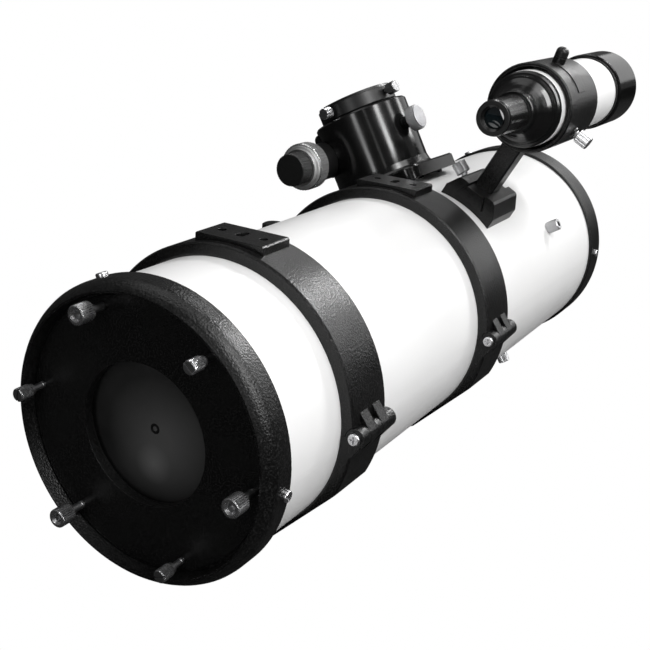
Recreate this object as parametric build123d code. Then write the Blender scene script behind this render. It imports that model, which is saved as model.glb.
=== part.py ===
from build123d import *
import math
import os

# A 150 mm reflector tube in two hinged cradle rings, with a two-speed focuser
# and a 50 mm finder. Millimetres. +X runs along the optical axis to the sky,
# +Z up through the ring pads, +Y left. The origin is the centre of the rear
# vent, on the outer face of the rear plate.

# ---------------------------------------------------------------- sizes
# Fits
SNUG = 0.15            # radial gap of pieces that sit on each other
SPLIT = 0.3            # gap between bodies that part or slide
RUN = 0.05             # radial gap of a shaft that turns in its bore
SCREW_PLAY = 0.5       # radial gap round a loose screw or bolt

# Main tube
TUBE_OD = 186.0
TUBE_WALL = 1.2
TUBE_LENGTH = 586.0
TUBE_R = TUBE_OD / 2

# Rear cell casting
PLATE_THICK = 4.0
CELL_WALL = 4.05       # band's thickness round the tube
CELL_FRONT = 13.0      # band's reach ahead of the plate's outer face
SHOULDER = (           # round rear shoulder: (behind the plate, in from the rim)
    (9.0, 6.0), (8.0, 4.7), (6.6, 3.3), (4.9, 2.0), (3.0, 0.9), (1.2, 0.2), (-0.8, 0.0),
)
LIP_FACE = 1.4         # width of the band's narrow rear face
LIP_SLOPE = 1.0        # inward run of the lip's inner wall
GROOVE = 2.0           # groove round the plate
GROOVE_DEEP = 1.5
VENT_R = 46.0
VENT_RIM = 3.0         # stiffening rim round the vent, inside
VENT_RIM_HIGH = 2.5

# Front ring
FRONT_WALL = 2.55
FRONT_BAND = 27.0
FRONT_LIP = 3.0
APERTURE_SHY = 6.0     # how far the aperture is inside the tube's surface
APERTURE_DEPTH = 14.0
APERTURE_WALL = 2.0

# Screws that hold the two end castings
END_SCREWS = 3
REAR_SCREW_CLOCK = 66.5
FRONT_SCREW_CLOCK = 57.5
END_SCREW_R = 2.0
END_SCREW_HEAD_R = 3.8
END_SCREW_HEAD = 2.4

# Mirror and its cell
MIRROR_SHY = 18.0      # mirror's rim to the tube's surface
MIRROR_THICK = 22.0
MIRROR_FOCUS = 600.0
CELL_GAP = 4.0         # plate to tray
TRAY_THICK = 3.0
TRAY_OPEN_R = 50.0
TRAY_WALL = 2.6
TRAY_WALL_HIGH = 15.0
MIRROR_PLAY = 0.5
MIRROR_PAD = 0.3       # silicone film under the mirror
CLIP_CLOCK = 36.0
CLIP_WIDE = 14.0
CLIP_THICK = 3.0
CLIP_REACH = 5.0
CELL_SCREWS_OUT = 6.0  # collimation and lock screws, out from the mirror's rim
CELL_CLOCK = 67.5
EAR_R = 7.5
EAR_HIGH = 18.0
KNOB_OUT = 12.0        # plate to the front of each knob
COLLIM_KNOB_R = 6.2
COLLIM_KNOB_LONG = 11.0
COLLIM_SHANK_R = 2.5
COLLIM_SOCKET_R = 2.6
LOCK_KNOB_R = 4.4
LOCK_KNOB_LONG = 10.0
LOCK_SHANK_R = 2.0
LOCK_BACKED_OFF = 2.6
SPRING_WIRE = 1.0
SPRING_TURNS = 3

# Cradle rings
RING_PLACES = {"rear": 75.0, "front": 287.0}
RING_WIDE = 42.0
FELT_THICK = 1.0
RING_WALL = 7.55
RING_FLAT_WALL = 2.2   # wall left under the flats of the lower half
FLAT_CLOCKS = (224.0, 316.0)
PAD_WIDE = 52.0
PAD_LONG = 30.0
PAD_PROUD = 2.8        # pad's face above the ring
PAD_SHOULDER = 20.0    # how far the pad's block reaches into the ring
PAD_SCREW_SPACING = 32.0
PAD_HOLE_R = 3.0
PAD_HOLE_DEEP = 6.5
PAD_SLOT_LONG = 11.0
PAD_SLOT_WIDE = 6.0
PAD_SLOT_DEEP = 3.0
HINGE_OUT = 1.5        # hinge axis outside the ring's surface
KNUCKLE_R = 6.6
KNUCKLE_CUTS = (8.6, 17.8, 24.2, 33.4)
EAR_FOOT = 172.0       # clock angle where the hinge ears meet the ring
PIN_R = 2.4
PIN_HEAD_R = 4.2
PIN_HEAD = 2.6
LUG_REACH = 19.3       # clamp lug's end outside the ring's surface
LUG_THICK = 9.0
LUG_LONG = 24.0
CLAMP_OUT = 10.3       # clamp bolt's axis outside the ring's surface
CLAMP_BOLT_R = 3.0
CLAMP_PLAY = 0.7
CLAMP_NECK_R = 5.5
CLAMP_NECK = 14.0
CLAMP_HEAD_R = 11.0
CLAMP_HEAD = 25.0
CLAMP_BOLT_BELOW = 11.0

# Focuser; its heights are above the tube's surface
FOCUSER_X = 389.0
FOCUSER_CLOCK = 60.0
BASE_SINK = 5.0        # plate's underside below the tube's crown
BASE_HIGH = 6.0
BASE_LONG = 88.0
BASE_WIDE = 104.0
BASE_CORNER = 12.0
BODY_R = 42.0
BODY_HIGH = 67.0
BODY_FOOT = 2.5        # foot's radius beyond the body
BODY_BORE_R = 32.5
DRAWTUBE_R = 29.8
DRAWTUBE_BORE_R = 25.5
DRAWTUBE_INSIDE = 27.0
DRAWTUBE_FLAT = 28.0
SHAFT_R = 3.0
SHAFT_OFF = 0.03       # gap from the shaft to the drawtube's flat
SHAFT_UP = 39.4
COLLAR_R = 34.5
COLLAR_GAP = 0.4
COLLAR_HIGH = 14.6
TWO_INCH_R = 25.5      # bore for 50.8 mm barrels
COLLAR_SCREWS = {"a": 170.0, "b": 262.0}
BLOCK_LONG = 50.0
BLOCK_FACE = 27.0      # drawtube side of the shaft block
BLOCK_OUT = 39.0
BLOCK_FOOT = 23.0
BLOCK_HIGH = 40.0
BLOCK_ROUND = 5.0
GEAR_HOUSING_R = 16.0
SLEEVE_R = 9.0
HOUSING_END = 58.0     # both housings reach this far along the shaft
COARSE_NEAR = 60.0
COARSE_LONG = 17.0
COARSE_R = 20.0
COARSE_STEP = 2.0      # flat ring's and bright step's depth, each
FINE_R = 13.6
FINE_LONG = 14.0
KNOB_NECK_R = 8.0
DRAW_LOCK_X = -6.0
DRAW_LOCK_UP = 43.0
DRAW_LOCK_R = 10.8
DRAW_LOCK_STAND = 6.0  # body to the head
DRAW_LOCK_LONG = 8.5
DRAW_LOCK_SHANK_R = 2.5
ROLLER_R = 5.0
ROLLER_LONG = 4.0
ROLLER_UPS = (23.0, 56.0)
ROLLER_CLOCKS = (-60.0, -120.0)
THUMB_R = 5.0          # small knurled thumbscrews
THUMB_LONG = 9.0
THUMB_SHANK_R = 1.9
BASE_SCREW_X = 37.0
BASE_SCREW_Y = 34.0
BASE_SCREW_R = 2.0
BASE_SCREW_HEAD_R = 3.5
BASE_SCREW_HEAD = 4.0

# Spider and secondary
SPIDER_X = 469.0
VANE_CLOCK = 58.0
VANE_DEEP = 20.0
VANE_THICK = 0.9
HUB_R = 14.0
HUB_LONG = 24.0
STUD_R = 2.4
NUT_R = 5.3
NUT_LONG = 11.0
SECONDARY_R = 31.5
SECONDARY_THICK = 8.0
HOLDER_R = 30.5
HOLDER_BACK = 438.0
BOLT_R = 3.0
BOLT_HEAD_R = 5.0
HUB_SCREW_CIRCLE = 9.5
HUB_SCREW_R = 1.5

# Finder
FINDER_CLOCK = 117.5
FINDER_UP = 100.0      # finder's axis above the tube's surface
FINDER_TUBE_R = 29.0
FINDER_WALL = 1.5
FINDER_TUBE = (339.0, 478.0)
BRACKET_SPAN = (345.0, 410.0)
BRACKET_R = 34.4
BRACKET_BORE_R = 31.6
ORING_X = 405.0
ORING_WIRE = 1.1
SHOE_X = 382.0
SHOE_LONG = 50.0
SHOE_HALF = 25.0
SHOE_SLOPE = 7.0       # inward run of the shoe's sides
SHOE_UP = 18.0
FOOT_GAP = 5.6         # tube to the dovetail foot
FOOT_UP = 16.0
FOOT_HALF_LOW = 13.0
FOOT_HALF_HIGH = 8.5
FOOT_LONG = 50.0
FOOT_SET_BACK = 2.0
STEM_SIDE = 17.0
STEM_X = 379.0
SHOE_SCREW_X = -8.0
SHOE_SCREW_STAND = 12.4
SHOE_THUMB_R = 6.0
SHOE_THUMB_LONG = 10.0
AIM_X = 372.0          # plane of the three aiming contacts
AIM_SCREWS = {"a": 209.5, "b": 343.0}
AIM_GAP = 1.5
AIM_STAND = 4.1        # bracket to each head
AIM_THUMB_R = 5.4
AIM_THUMB_LONG = 11.0
AIM_BOSS = 1.5
PLUNGER_CLOCK = 106.0
PLUNGER_R = 3.6
PLUNGER_POST_R = 5.0
PLUNGER_BOSS = 5.0
PLUNGER_CAP = 7.7
STRIP_HIGH = 0.8       # raised strip round the bracket, from the plunger
STRIP_WIDE = 16.0
STRIP_ARC = 50.0
HOOD_R = 32.2
HOOD_END = 532.0
HOOD_WALL = 2.2
HOOD_NECK_R = 30.6
LENS_R = 25.0
LENS_THICK = 5.0
LENS_X = 494.0
EYE_LONG = 65.0        # tube's rear end to the eye end
EYE_BARREL_R = 13.2
EYE_RING_R = 16.0      # ring at the barrel's foot
EYE_RING = (19.0, 27.0)
EYE_DISH = (           # rear dish: (behind the tube, in from the tube's surface)
    (5.0, 0.2), (6.2, 1.4), (6.8, 3.0), (8.6, 3.6), (9.2, 5.0), (11.6, 7.4), (14.0, 9.4),
    (16.4, 10.9),
)
EYE_LENS_R = 7.5

KNURLS = 30

# Worked out from the sizes above
TUBE_START = PLATE_THICK
TUBE_END = TUBE_START + TUBE_LENGTH
FRONT_FACE = TUBE_END + FRONT_LIP
FRONT_R = TUBE_R + FRONT_WALL + SNUG
APERTURE_R = TUBE_R - APERTURE_SHY
CELL_R = TUBE_R + CELL_WALL + SNUG
TRAY_BACK = PLATE_THICK + CELL_GAP
MIRROR_BACK = TRAY_BACK + TRAY_THICK + MIRROR_PAD
MIRROR_R = TUBE_R - MIRROR_SHY
SCREW_CIRCLE = MIRROR_R + CELL_SCREWS_OUT
FELT_IN = TUBE_R + SNUG
RING_IN = FELT_IN + FELT_THICK
RING_R = RING_IN + RING_WALL
PAD_TOP = RING_R + PAD_PROUD
HINGE_AT = RING_R + HINGE_OUT
LUG_END = RING_R + LUG_REACH
CLAMP_AT = RING_R + CLAMP_OUT
BASE_BOTTOM = TUBE_R - BASE_SINK
BASE_TOP = TUBE_R + BASE_HIGH
BODY_TOP = TUBE_R + BODY_HIGH
DRAWTUBE_BOTTOM = TUBE_R - DRAWTUBE_INSIDE
COLLAR_BOTTOM = BODY_TOP + COLLAR_GAP
COLLAR_TOP = COLLAR_BOTTOM + COLLAR_HIGH
SHAFT_HIGH = TUBE_R + SHAFT_UP
SHAFT_Y = DRAWTUBE_FLAT + SHAFT_R + SHAFT_OFF
BLOCK_LOW = TUBE_R + BLOCK_FOOT
DRAW_LOCK_HIGH = TUBE_R + DRAW_LOCK_UP
FINDER_RHO = TUBE_R + FINDER_UP
SHOE_HIGH = TUBE_R + SHOE_UP
FOOT_BOTTOM = TUBE_R + FOOT_GAP
FOOT_TOP = TUBE_R + FOOT_UP


# ---------------------------------------------------------------- helpers
def rod(radius, start, end, y=0.0, z=0.0):
    """A round bar along X."""
    plane = Plane.YZ.offset(start)
    return extrude(plane * Pos(y, z) * Circle(radius), end - start)


def ring(outer, inner, start, end):
    """A round sleeve along X."""
    face = Circle(outer) - Circle(inner)
    return extrude(Plane.YZ.offset(start) * face, end - start)


def turned(points):
    """A solid turned about the X axis from (x, radius) points."""
    return revolve(make_face(Polyline(*points, close=True)), Axis.X)


def radial_plane(x, clock):
    """A plane whose normal leaves the optical axis at the clock angle."""
    angle = math.radians(clock)
    normal = (0, math.cos(angle), math.sin(angle))
    return Plane(origin=(x, 0, 0), x_dir=(1, 0, 0), z_dir=normal)


def knurled(radius, length, count=KNURLS, groove=0.35):
    """A knurled grip along +Z from the origin, with its rims chamfered."""
    points = []
    for i in range(2 * count):
        angle = math.pi * i / count
        reach = radius - groove * (i % 2)
        points.append((reach * math.cos(angle), reach * math.sin(angle)))
    grip = extrude(make_face(Polyline(*points, close=True)), length)
    rim = groove + 0.3
    cone = [(0, 0), (radius - rim, 0), (radius, rim), (radius, length - rim),
            (radius - rim, length), (0, length)]
    return grip & revolve(make_face(Plane.XZ * Polyline(*cone, close=True)), Axis.Z)


def thumbscrew(tip, neck, head_start, head_r, head_long, shank_r=THUMB_SHANK_R):
    """A thumbscrew along +Z: shank from tip, wider neck, knurled head."""
    shank = Pos(0, 0, tip) * Cylinder(
        shank_r, head_start - tip, align=(Align.CENTER, Align.CENTER, Align.MIN)
    )
    collar = Pos(0, 0, head_start - neck) * Cylinder(
        shank_r + 1.0, neck, align=(Align.CENTER, Align.CENTER, Align.MIN)
    )
    return shank + collar + Pos(0, 0, head_start) * knurled(head_r, head_long)


def upright(radius, low, high):
    """A round bar along +Z."""
    return Pos(0, 0, low) * Cylinder(
        radius, high - low, align=(Align.CENTER, Align.CENTER, Align.MIN)
    )


def pan_screw(shank_r, head_r, head, length):
    """A pan-head cross-slot screw along -Z, head seated at z = 0."""
    crown = upright(head_r, 0, head)
    crown = fillet(crown.edges().sort_by(Axis.Z)[-1], 0.45 * head)
    for turn in (0, 90):
        crown -= Rot(0, 0, turn) * Pos(0, 0, head) * Box(1.2 * head_r, 0.9, head)
    return crown + upright(shank_r, -length, 0)


def save(name, shape):
    """Write one sub-part to its own STEP file."""
    export_step(shape, f"parts/{name}.step")


# ---------------------------------------------------------------- main tube
def main_tube():
    tube = ring(TUBE_R, TUBE_R - TUBE_WALL, TUBE_START, TUBE_END)
    focuser_hole = radial_plane(FOCUSER_X, FOCUSER_CLOCK) * upright(BODY_BORE_R, 0, TUBE_OD)
    tube -= focuser_hole
    for x, y in base_screw_places():
        tube -= focuser_plane() * Pos(x, y, 0) * upright(2.0 + SNUG, 0, TUBE_OD)
    for i in range(4):
        hole = upright(STUD_R + SNUG, 0, TUBE_OD)
        tube -= radial_plane(SPIDER_X, VANE_CLOCK + 90 * i) * hole
    for place, clock in end_screw_places():
        tube -= radial_plane(place, clock) * upright(END_SCREW_R + SNUG, 0, TUBE_OD)
    return tube


def end_screw_places():
    """Where the screws of both end castings stand: (x, clock angle)."""
    rear = (TUBE_START + CELL_FRONT) / 2
    front = FRONT_FACE - FRONT_BAND / 2
    step = 360 / END_SCREWS
    places = [(rear, REAR_SCREW_CLOCK + step * i) for i in range(END_SCREWS)]
    return places + [(front, FRONT_SCREW_CLOCK + step * i) for i in range(END_SCREWS)]


def end_screws(places, seat):
    screws = []
    for x, clock in places:
        length = seat - (TUBE_R - TUBE_WALL) + 1.0
        screw = pan_screw(END_SCREW_R, END_SCREW_HEAD_R, END_SCREW_HEAD, length)
        screws.append(radial_plane(x, clock) * Pos(0, 0, seat) * screw)
    return screws


# ---------------------------------------------------------------- rear cell
def knob_plane(clock):
    """A plane at one cell screw, its normal pointing out of the back."""
    angle = math.radians(clock)
    y, z = SCREW_CIRCLE * math.cos(angle), SCREW_CIRCLE * math.sin(angle)
    return Plane(origin=(0, y, z), x_dir=(0, -math.sin(angle), math.cos(angle)), z_dir=(-1, 0, 0))


def collim_clocks():
    return [CELL_CLOCK + 120 * i for i in range(3)]


def lock_clocks():
    return [CELL_CLOCK + 60 + 120 * i for i in range(3)]


def rear_cell():
    """The rear plate and band in one casting, with a round rear shoulder."""
    inner = TUBE_R + SNUG
    shoulder = [(-behind, CELL_R - in_) for behind, in_ in SHOULDER]
    lip_back, lip_out = shoulder[0]
    lip_in = lip_out - LIP_FACE
    groove_out = lip_in - LIP_SLOPE
    groove_in = groove_out - GROOVE
    rim = VENT_R + VENT_RIM
    profile = [
        (0, VENT_R), (0, groove_in), (GROOVE_DEEP, groove_in), (GROOVE_DEEP, groove_out),
        (0, groove_out), (lip_back, lip_in), *shoulder, (CELL_FRONT - 0.8, CELL_R),
        (CELL_FRONT, CELL_R - 0.8), (CELL_FRONT, inner), (PLATE_THICK, inner),
        (PLATE_THICK, rim), (PLATE_THICK + VENT_RIM_HIGH, rim),
        (PLATE_THICK + VENT_RIM_HIGH, VENT_R),
    ]
    cell = turned(profile)
    for clock in collim_clocks():
        cell -= knob_plane(clock) * upright(COLLIM_SHANK_R + RUN, -CELL_R, CELL_R)
    for clock in lock_clocks():
        cell -= knob_plane(clock) * upright(LOCK_SHANK_R + RUN, -CELL_R, CELL_R)
    for x, clock in end_screw_places()[:END_SCREWS]:
        cell -= radial_plane(x, clock) * upright(END_SCREW_R + SNUG, 0, TUBE_OD)
    return cell


def collimation_knob(clock):
    """A knurled socket-head knob on a long threaded shank."""
    head = Pos(0, 0, KNOB_OUT) * knurled(COLLIM_KNOB_R, COLLIM_KNOB_LONG)
    top = KNOB_OUT + COLLIM_KNOB_LONG
    socket = Pos(0, 0, top - 5.0) * extrude(RegularPolygon(COLLIM_SOCKET_R, 6), 6.0)
    cone = Pos(0, 0, top - 1.4) * Cone(
        COLLIM_SOCKET_R, COLLIM_SOCKET_R + 1.4, 1.4, align=(Align.CENTER, Align.CENTER, Align.MIN)
    )
    end = -(TRAY_BACK + EAR_HIGH - 1.0)
    return knob_plane(clock) * (head - socket - cone + upright(COLLIM_SHANK_R, end, KNOB_OUT))


def lock_screw(clock):
    """A slotted thumbscrew that bears on the tray."""
    tip = -(TRAY_BACK - LOCK_BACKED_OFF)
    head = Pos(0, 0, KNOB_OUT) * knurled(LOCK_KNOB_R, LOCK_KNOB_LONG)
    neck = upright(LOCK_SHANK_R + 1.4, KNOB_OUT - 2.5, KNOB_OUT)
    top = KNOB_OUT + LOCK_KNOB_LONG
    slot = Pos(0, 0, top) * Box(3 * LOCK_KNOB_R, 1.2, 3.2)
    return knob_plane(clock) * (head - slot + neck + upright(LOCK_SHANK_R, tip, KNOB_OUT))


def collimation_spring(clock):
    """A flat-wire spring round one collimation shank."""
    length = CELL_GAP + TRAY_THICK + EAR_HIGH / 2
    start = PLATE_THICK + 2 * SPRING_WIRE
    height = length - 4 * SPRING_WIRE - 1.0
    radius = COLLIM_SHANK_R + SCREW_PLAY + SPRING_WIRE / 2
    path = Helix(pitch=height / SPRING_TURNS, height=height, radius=radius)
    section = Plane(origin=path @ 0, z_dir=path % 0) * Rectangle(SPRING_WIRE, SPRING_WIRE)
    coil = sweep(section, path=path, is_frenet=True)
    return knob_plane(clock) * Pos(0, 0, -start - height) * coil


def mirror_tray():
    """The tray that holds the mirror, with ears for the collimation screws."""
    inner = MIRROR_R + MIRROR_PLAY
    outer = inner + TRAY_WALL
    front = TRAY_BACK + TRAY_THICK + TRAY_WALL_HIGH
    tray = ring(outer, TRAY_OPEN_R, TRAY_BACK, TRAY_BACK + TRAY_THICK)
    tray += ring(outer, inner, TRAY_BACK, front)
    for clock in collim_clocks():
        tray += knob_plane(clock) * upright(EAR_R, -TRAY_BACK - EAR_HIGH, -TRAY_BACK)
    for clock in lock_clocks():
        tray += knob_plane(clock) * upright(EAR_R - 1.0, -TRAY_BACK - TRAY_THICK, -TRAY_BACK)
    tray -= rod(inner, TRAY_BACK + TRAY_THICK, front + EAR_HIGH)
    well_r = COLLIM_SHANK_R + 2 * SCREW_PLAY + SPRING_WIRE + 0.5
    for clock in collim_clocks():
        well = upright(well_r, -TRAY_BACK - TRAY_THICK - EAR_HIGH / 2, CELL_R)
        bore = upright(COLLIM_SHANK_R + SCREW_PLAY, -CELL_R, CELL_R)
        tray -= knob_plane(clock) * (well + bore)
    return tray


def primary_mirror():
    """A concave mirror with a ground back and bevelled rims."""
    front = MIRROR_BACK + MIRROR_THICK
    sag = MIRROR_R ** 2 / (4 * MIRROR_FOCUS)
    blank = chamfer(rod(MIRROR_R, MIRROR_BACK, front).edges().filter_by(GeomType.CIRCLE), 1.0)
    return blank - Pos(front - sag + 2 * MIRROR_FOCUS, 0, 0) * Sphere(2 * MIRROR_FOCUS)


def mirror_clips():
    """Three clips on the tray wall that reach over the mirror's rim."""
    front = MIRROR_BACK + MIRROR_THICK
    inner = MIRROR_R + MIRROR_PLAY
    wall_top = TRAY_BACK + TRAY_THICK + TRAY_WALL_HIGH
    clips = []
    for i in range(3):
        post = Pos((wall_top + front + CLIP_THICK + SPLIT) / 2, 0, inner + TRAY_WALL / 2) * Box(
            front + CLIP_THICK + SPLIT - wall_top, CLIP_WIDE, TRAY_WALL
        )
        low = MIRROR_R - CLIP_REACH
        tongue = Pos(front + SPLIT + CLIP_THICK / 2, 0, (low + inner + TRAY_WALL) / 2) * Box(
            CLIP_THICK, CLIP_WIDE, inner + TRAY_WALL - low
        )
        clip = post + tongue
        clip &= ring(inner + TRAY_WALL - 0.1, low, wall_top, front + 2 * CLIP_THICK)
        clips.append(Rot(CLIP_CLOCK + 120 * i, 0, 0) * clip)
    return clips


# ---------------------------------------------------------------- front ring
def front_ring():
    inner = TUBE_R + SNUG
    outer = FRONT_R
    back = FRONT_FACE - FRONT_BAND
    lip_out = APERTURE_R + APERTURE_WALL
    profile = [
        (back, inner), (back, outer - 0.8), (back + 0.8, outer), (FRONT_FACE - 1.5, outer),
        (FRONT_FACE, outer - 1.5), (FRONT_FACE, APERTURE_R + 0.8), (FRONT_FACE - 0.8, APERTURE_R),
        (FRONT_FACE - APERTURE_DEPTH, APERTURE_R), (FRONT_FACE - APERTURE_DEPTH, lip_out),
        (TUBE_END, lip_out), (TUBE_END, inner),
    ]
    casting = turned(profile)
    for x, clock in end_screw_places()[END_SCREWS:]:
        casting -= radial_plane(x, clock) * upright(END_SCREW_R + SNUG, 0, TUBE_OD)
    return casting


# ---------------------------------------------------------------- spider
def spider():
    start = SPIDER_X - HUB_LONG / 2
    hub = rod(HUB_R, start, start + HUB_LONG)
    hub = chamfer(hub.edges(), 1.0)
    reach = TUBE_R - TUBE_WALL - SNUG
    for i in range(4):
        plane = radial_plane(SPIDER_X, VANE_CLOCK + 90 * i)
        vane = Pos(0, 0, (HUB_R - 2 + reach) / 2) * Box(VANE_DEEP, VANE_THICK, reach - HUB_R + 2)
        foot = Pos(0, 0, reach - 5.0) * Box(VANE_DEEP / 2, 2 * STUD_R + 1, 8.0)
        stud = upright(STUD_R, reach - 2.0, TUBE_R + NUT_LONG - 1.5)
        hub += plane * (vane + foot + stud)
    hub -= rod(BOLT_R + RUN, start - 1, start + HUB_LONG + 1)
    for y, z in hub_screw_places():
        hub -= rod(HUB_SCREW_R + RUN, start - 1, start + HUB_LONG + 1, y, z)
    return hub


def hub_screw_places():
    places = []
    for i in range(3):
        angle = math.radians(VANE_CLOCK + 45 + 120 * i)
        places.append((HUB_SCREW_CIRCLE * math.cos(angle), HUB_SCREW_CIRCLE * math.sin(angle)))
    return places


def vane_nuts():
    """Knurled nuts that tension the vanes from outside the tube."""
    nut = Pos(0, 0, TUBE_R + SNUG) * knurled(NUT_R, NUT_LONG)
    nut -= upright(STUD_R + RUN, 0, TUBE_OD)
    return [radial_plane(SPIDER_X, VANE_CLOCK + 90 * i) * nut for i in range(4)]


def secondary_plane():
    """The reflecting plane, its normal halfway to the focuser."""
    angle = math.radians(FOCUSER_CLOCK)
    normal = (-1, math.cos(angle), math.sin(angle))
    side = (0, -math.sin(angle), math.cos(angle))
    return Plane(origin=(FOCUSER_X, 0, 0), x_dir=side, z_dir=normal)


def secondary_mirror():
    blank = rod(SECONDARY_R, FOCUSER_X - 2 * SECONDARY_R, FOCUSER_X + 2 * SECONDARY_R)
    slab = Pos(0, 0, -SECONDARY_THICK) * extrude(Rectangle(200, 200), SECONDARY_THICK)
    return blank & (secondary_plane() * slab)


def secondary_holder():
    body = rod(HOLDER_R, FOCUSER_X - 2 * HOLDER_R, HOLDER_BACK)
    behind = Pos(0, 0, -SECONDARY_THICK - 200) * extrude(Rectangle(400, 400), 200)
    body &= secondary_plane() * behind
    shell = rod(HOLDER_R - 2.0, FOCUSER_X, HOLDER_BACK - 5.0)
    deeper = Pos(0, 0, -SECONDARY_THICK - 203) * extrude(Rectangle(400, 400), 200)
    body -= shell & (secondary_plane() * deeper)
    return body - rod(BOLT_R + 1.0, HOLDER_BACK - 8, HOLDER_BACK + 1)


def secondary_bolt():
    """The centre bolt, its head inside the holder and its nut ahead of the hub."""
    head_back = HOLDER_BACK - 5.0 - SPLIT
    front = SPIDER_X + HUB_LONG / 2
    bolt = rod(BOLT_R, head_back - 2, front + 6)
    bolt += rod(BOLT_HEAD_R, head_back - 4, head_back)
    nut = Plane.YZ.offset(front + SPLIT) * RegularPolygon(BOLT_HEAD_R, 6)
    return bolt + extrude(nut, 4.5)


def secondary_screws():
    screws = []
    start = SPIDER_X - HUB_LONG / 2
    front = start + HUB_LONG
    for y, z in hub_screw_places():
        shank = rod(HUB_SCREW_R, HOLDER_BACK + 0.6, front + SPLIT, y, z)
        screws.append(shank + rod(2.6, front + SPLIT, front + 3.4, y, z))
    return screws


# ---------------------------------------------------------------- cradle rings
def ring_half_profile(upper):
    """Pad and clamp lug of one half in the YZ plane."""
    side = 1 if upper else -1
    foot = RING_R - PAD_SHOULDER
    pad = Polyline(
        (-PAD_WIDE / 2, side * (PAD_TOP - 1.0)), (-PAD_WIDE / 2 + 1.0, side * PAD_TOP),
        (PAD_WIDE / 2 - 1.0, side * PAD_TOP), (PAD_WIDE / 2, side * (PAD_TOP - 1.0)),
        (PAD_WIDE / 2, side * foot), (-PAD_WIDE / 2, side * foot), close=True,
    )
    lug = Pos((RING_IN + LUG_END) / 2, side * (SPLIT + LUG_THICK) / 2) * Rectangle(
        LUG_END - RING_IN, LUG_THICK - SPLIT / 2
    )
    return make_face(pad), lug


def ring_half(start, upper):
    """One half of a cradle ring, with its pad, clamp lug and hinge knuckles."""
    side = 1 if upper else -1
    band = ring(RING_R, RING_IN, start, start + RING_WIDE)
    band = chamfer(band.edges().filter_by(GeomType.CIRCLE).group_by(SortBy.RADIUS)[-1], 1.2)
    middle = start + RING_WIDE / 2
    if not upper:
        for clock in FLAT_CLOCKS:
            beyond = Pos(middle, RING_IN + RING_FLAT_WALL + RING_R / 2, 0) * Box(
                2 * RING_WIDE, RING_R, RING_R
            )
            band -= Rot(clock, 0, 0) * beyond
    pad_face, lug_face = ring_half_profile(upper)
    pad = extrude(Plane.YZ.offset(middle - PAD_LONG / 2) * pad_face, PAD_LONG)
    lug = extrude(Plane.YZ.offset(middle - LUG_LONG / 2) * lug_face, LUG_LONG)
    lug = fillet(lug.edges().filter_by(Axis.Z).sort_by(Axis.Y)[-2:], 6.0)
    half = band + pad + lug
    keep = Pos(middle, 0, side * (RING_R + SPLIT / 2)) * Box(
        2 * RING_WIDE, 4 * RING_R, 2 * RING_R
    )
    body = half & keep
    body += own_knuckles(start, upper)
    body -= rod(RING_IN, start - 1, start + RING_WIDE + 1)
    body -= other_knuckles(start, upper)
    body -= rod(PIN_R + RUN, start - 5, start + RING_WIDE + 5, -HINGE_AT, 0)
    clamp_hole = upright(CLAMP_BOLT_R + (SNUG if upper else CLAMP_PLAY), -50, 50)
    body -= Pos(middle, CLAMP_AT, 0) * clamp_hole
    for offset in (-PAD_SCREW_SPACING / 2, PAD_SCREW_SPACING / 2):
        hole = Pos(middle, offset, side * (PAD_TOP - PAD_HOLE_DEEP / 2)) * Cylinder(
            PAD_HOLE_R, PAD_HOLE_DEEP
        )
        body -= hole
    if upper:
        slot = Pos(middle, 0, PAD_TOP - PAD_SLOT_DEEP) * extrude(
            SlotOverall(PAD_SLOT_LONG, PAD_SLOT_WIDE), PAD_SLOT_DEEP + 1
        )
        body -= slot
    return body


def hinge_ear(side):
    """The small ear that joins one knuckle to the ring's round side."""
    angle = math.radians(EAR_FOOT)
    foot = (RING_R * math.cos(angle), side * RING_R * math.sin(angle))
    inner = (RING_IN * math.cos(angle), side * RING_IN * math.sin(angle))
    tangent = KNUCKLE_R * math.sqrt(0.5)
    return make_face(Polyline(
        (-HINGE_AT - tangent, side * tangent), foot, inner, (-RING_IN, side * SPLIT),
        (-HINGE_AT, side * SPLIT), close=True,
    ))


def knuckle_spans(upper):
    """Stretches of the hinge barrel that belong to one half."""
    a, b, c, d = KNUCKLE_CUTS
    return [(a, b), (c, d)] if upper else [(0, a), (b, c), (d, RING_WIDE)]


def own_knuckles(start, upper):
    shape = None
    for low, high in knuckle_spans(upper):
        low_gap = SPLIT / 2 if low > 0 else 0
        high_gap = SPLIT / 2 if high < RING_WIDE else 0
        first, last = start + low + low_gap, start + high - high_gap
        block = rod(KNUCKLE_R, first, last, -HINGE_AT, 0)
        block += extrude(Plane.YZ.offset(first) * hinge_ear(1 if upper else -1), last - first)
        shape = block if shape is None else shape + block
    return shape


def other_knuckles(start, upper):
    """Room for the other half's knuckles to turn in."""
    shape = None
    for low, high in knuckle_spans(not upper):
        low_gap = SPLIT / 2 if low > 0 else 1
        high_gap = SPLIT / 2 if high < RING_WIDE else 1
        block = rod(
            KNUCKLE_R + SPLIT, start + low - low_gap, start + high + high_gap, -HINGE_AT, 0
        )
        shape = block if shape is None else shape + block
    return shape


def felt_half(start, upper):
    side = 1 if upper else -1
    strip = ring(RING_IN, FELT_IN, start, start + RING_WIDE)
    keep = Pos(start, 0, side * (RING_R + SPLIT / 2)) * Box(4 * RING_WIDE, 4 * RING_R, 2 * RING_R)
    strip &= keep
    return strip - rod(KNUCKLE_R + SPLIT, start - 1, start + RING_WIDE + 1, -HINGE_AT, 0)


def hinge_pin(start):
    """The hinge pin, with a cross-slot head at the rear end."""
    pin = pan_screw(PIN_R, PIN_HEAD_R, PIN_HEAD, RING_WIDE)
    plane = Plane(origin=(start, -HINGE_AT, 0), x_dir=(0, 1, 0), z_dir=(-1, 0, 0))
    return plane * pin


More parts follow.
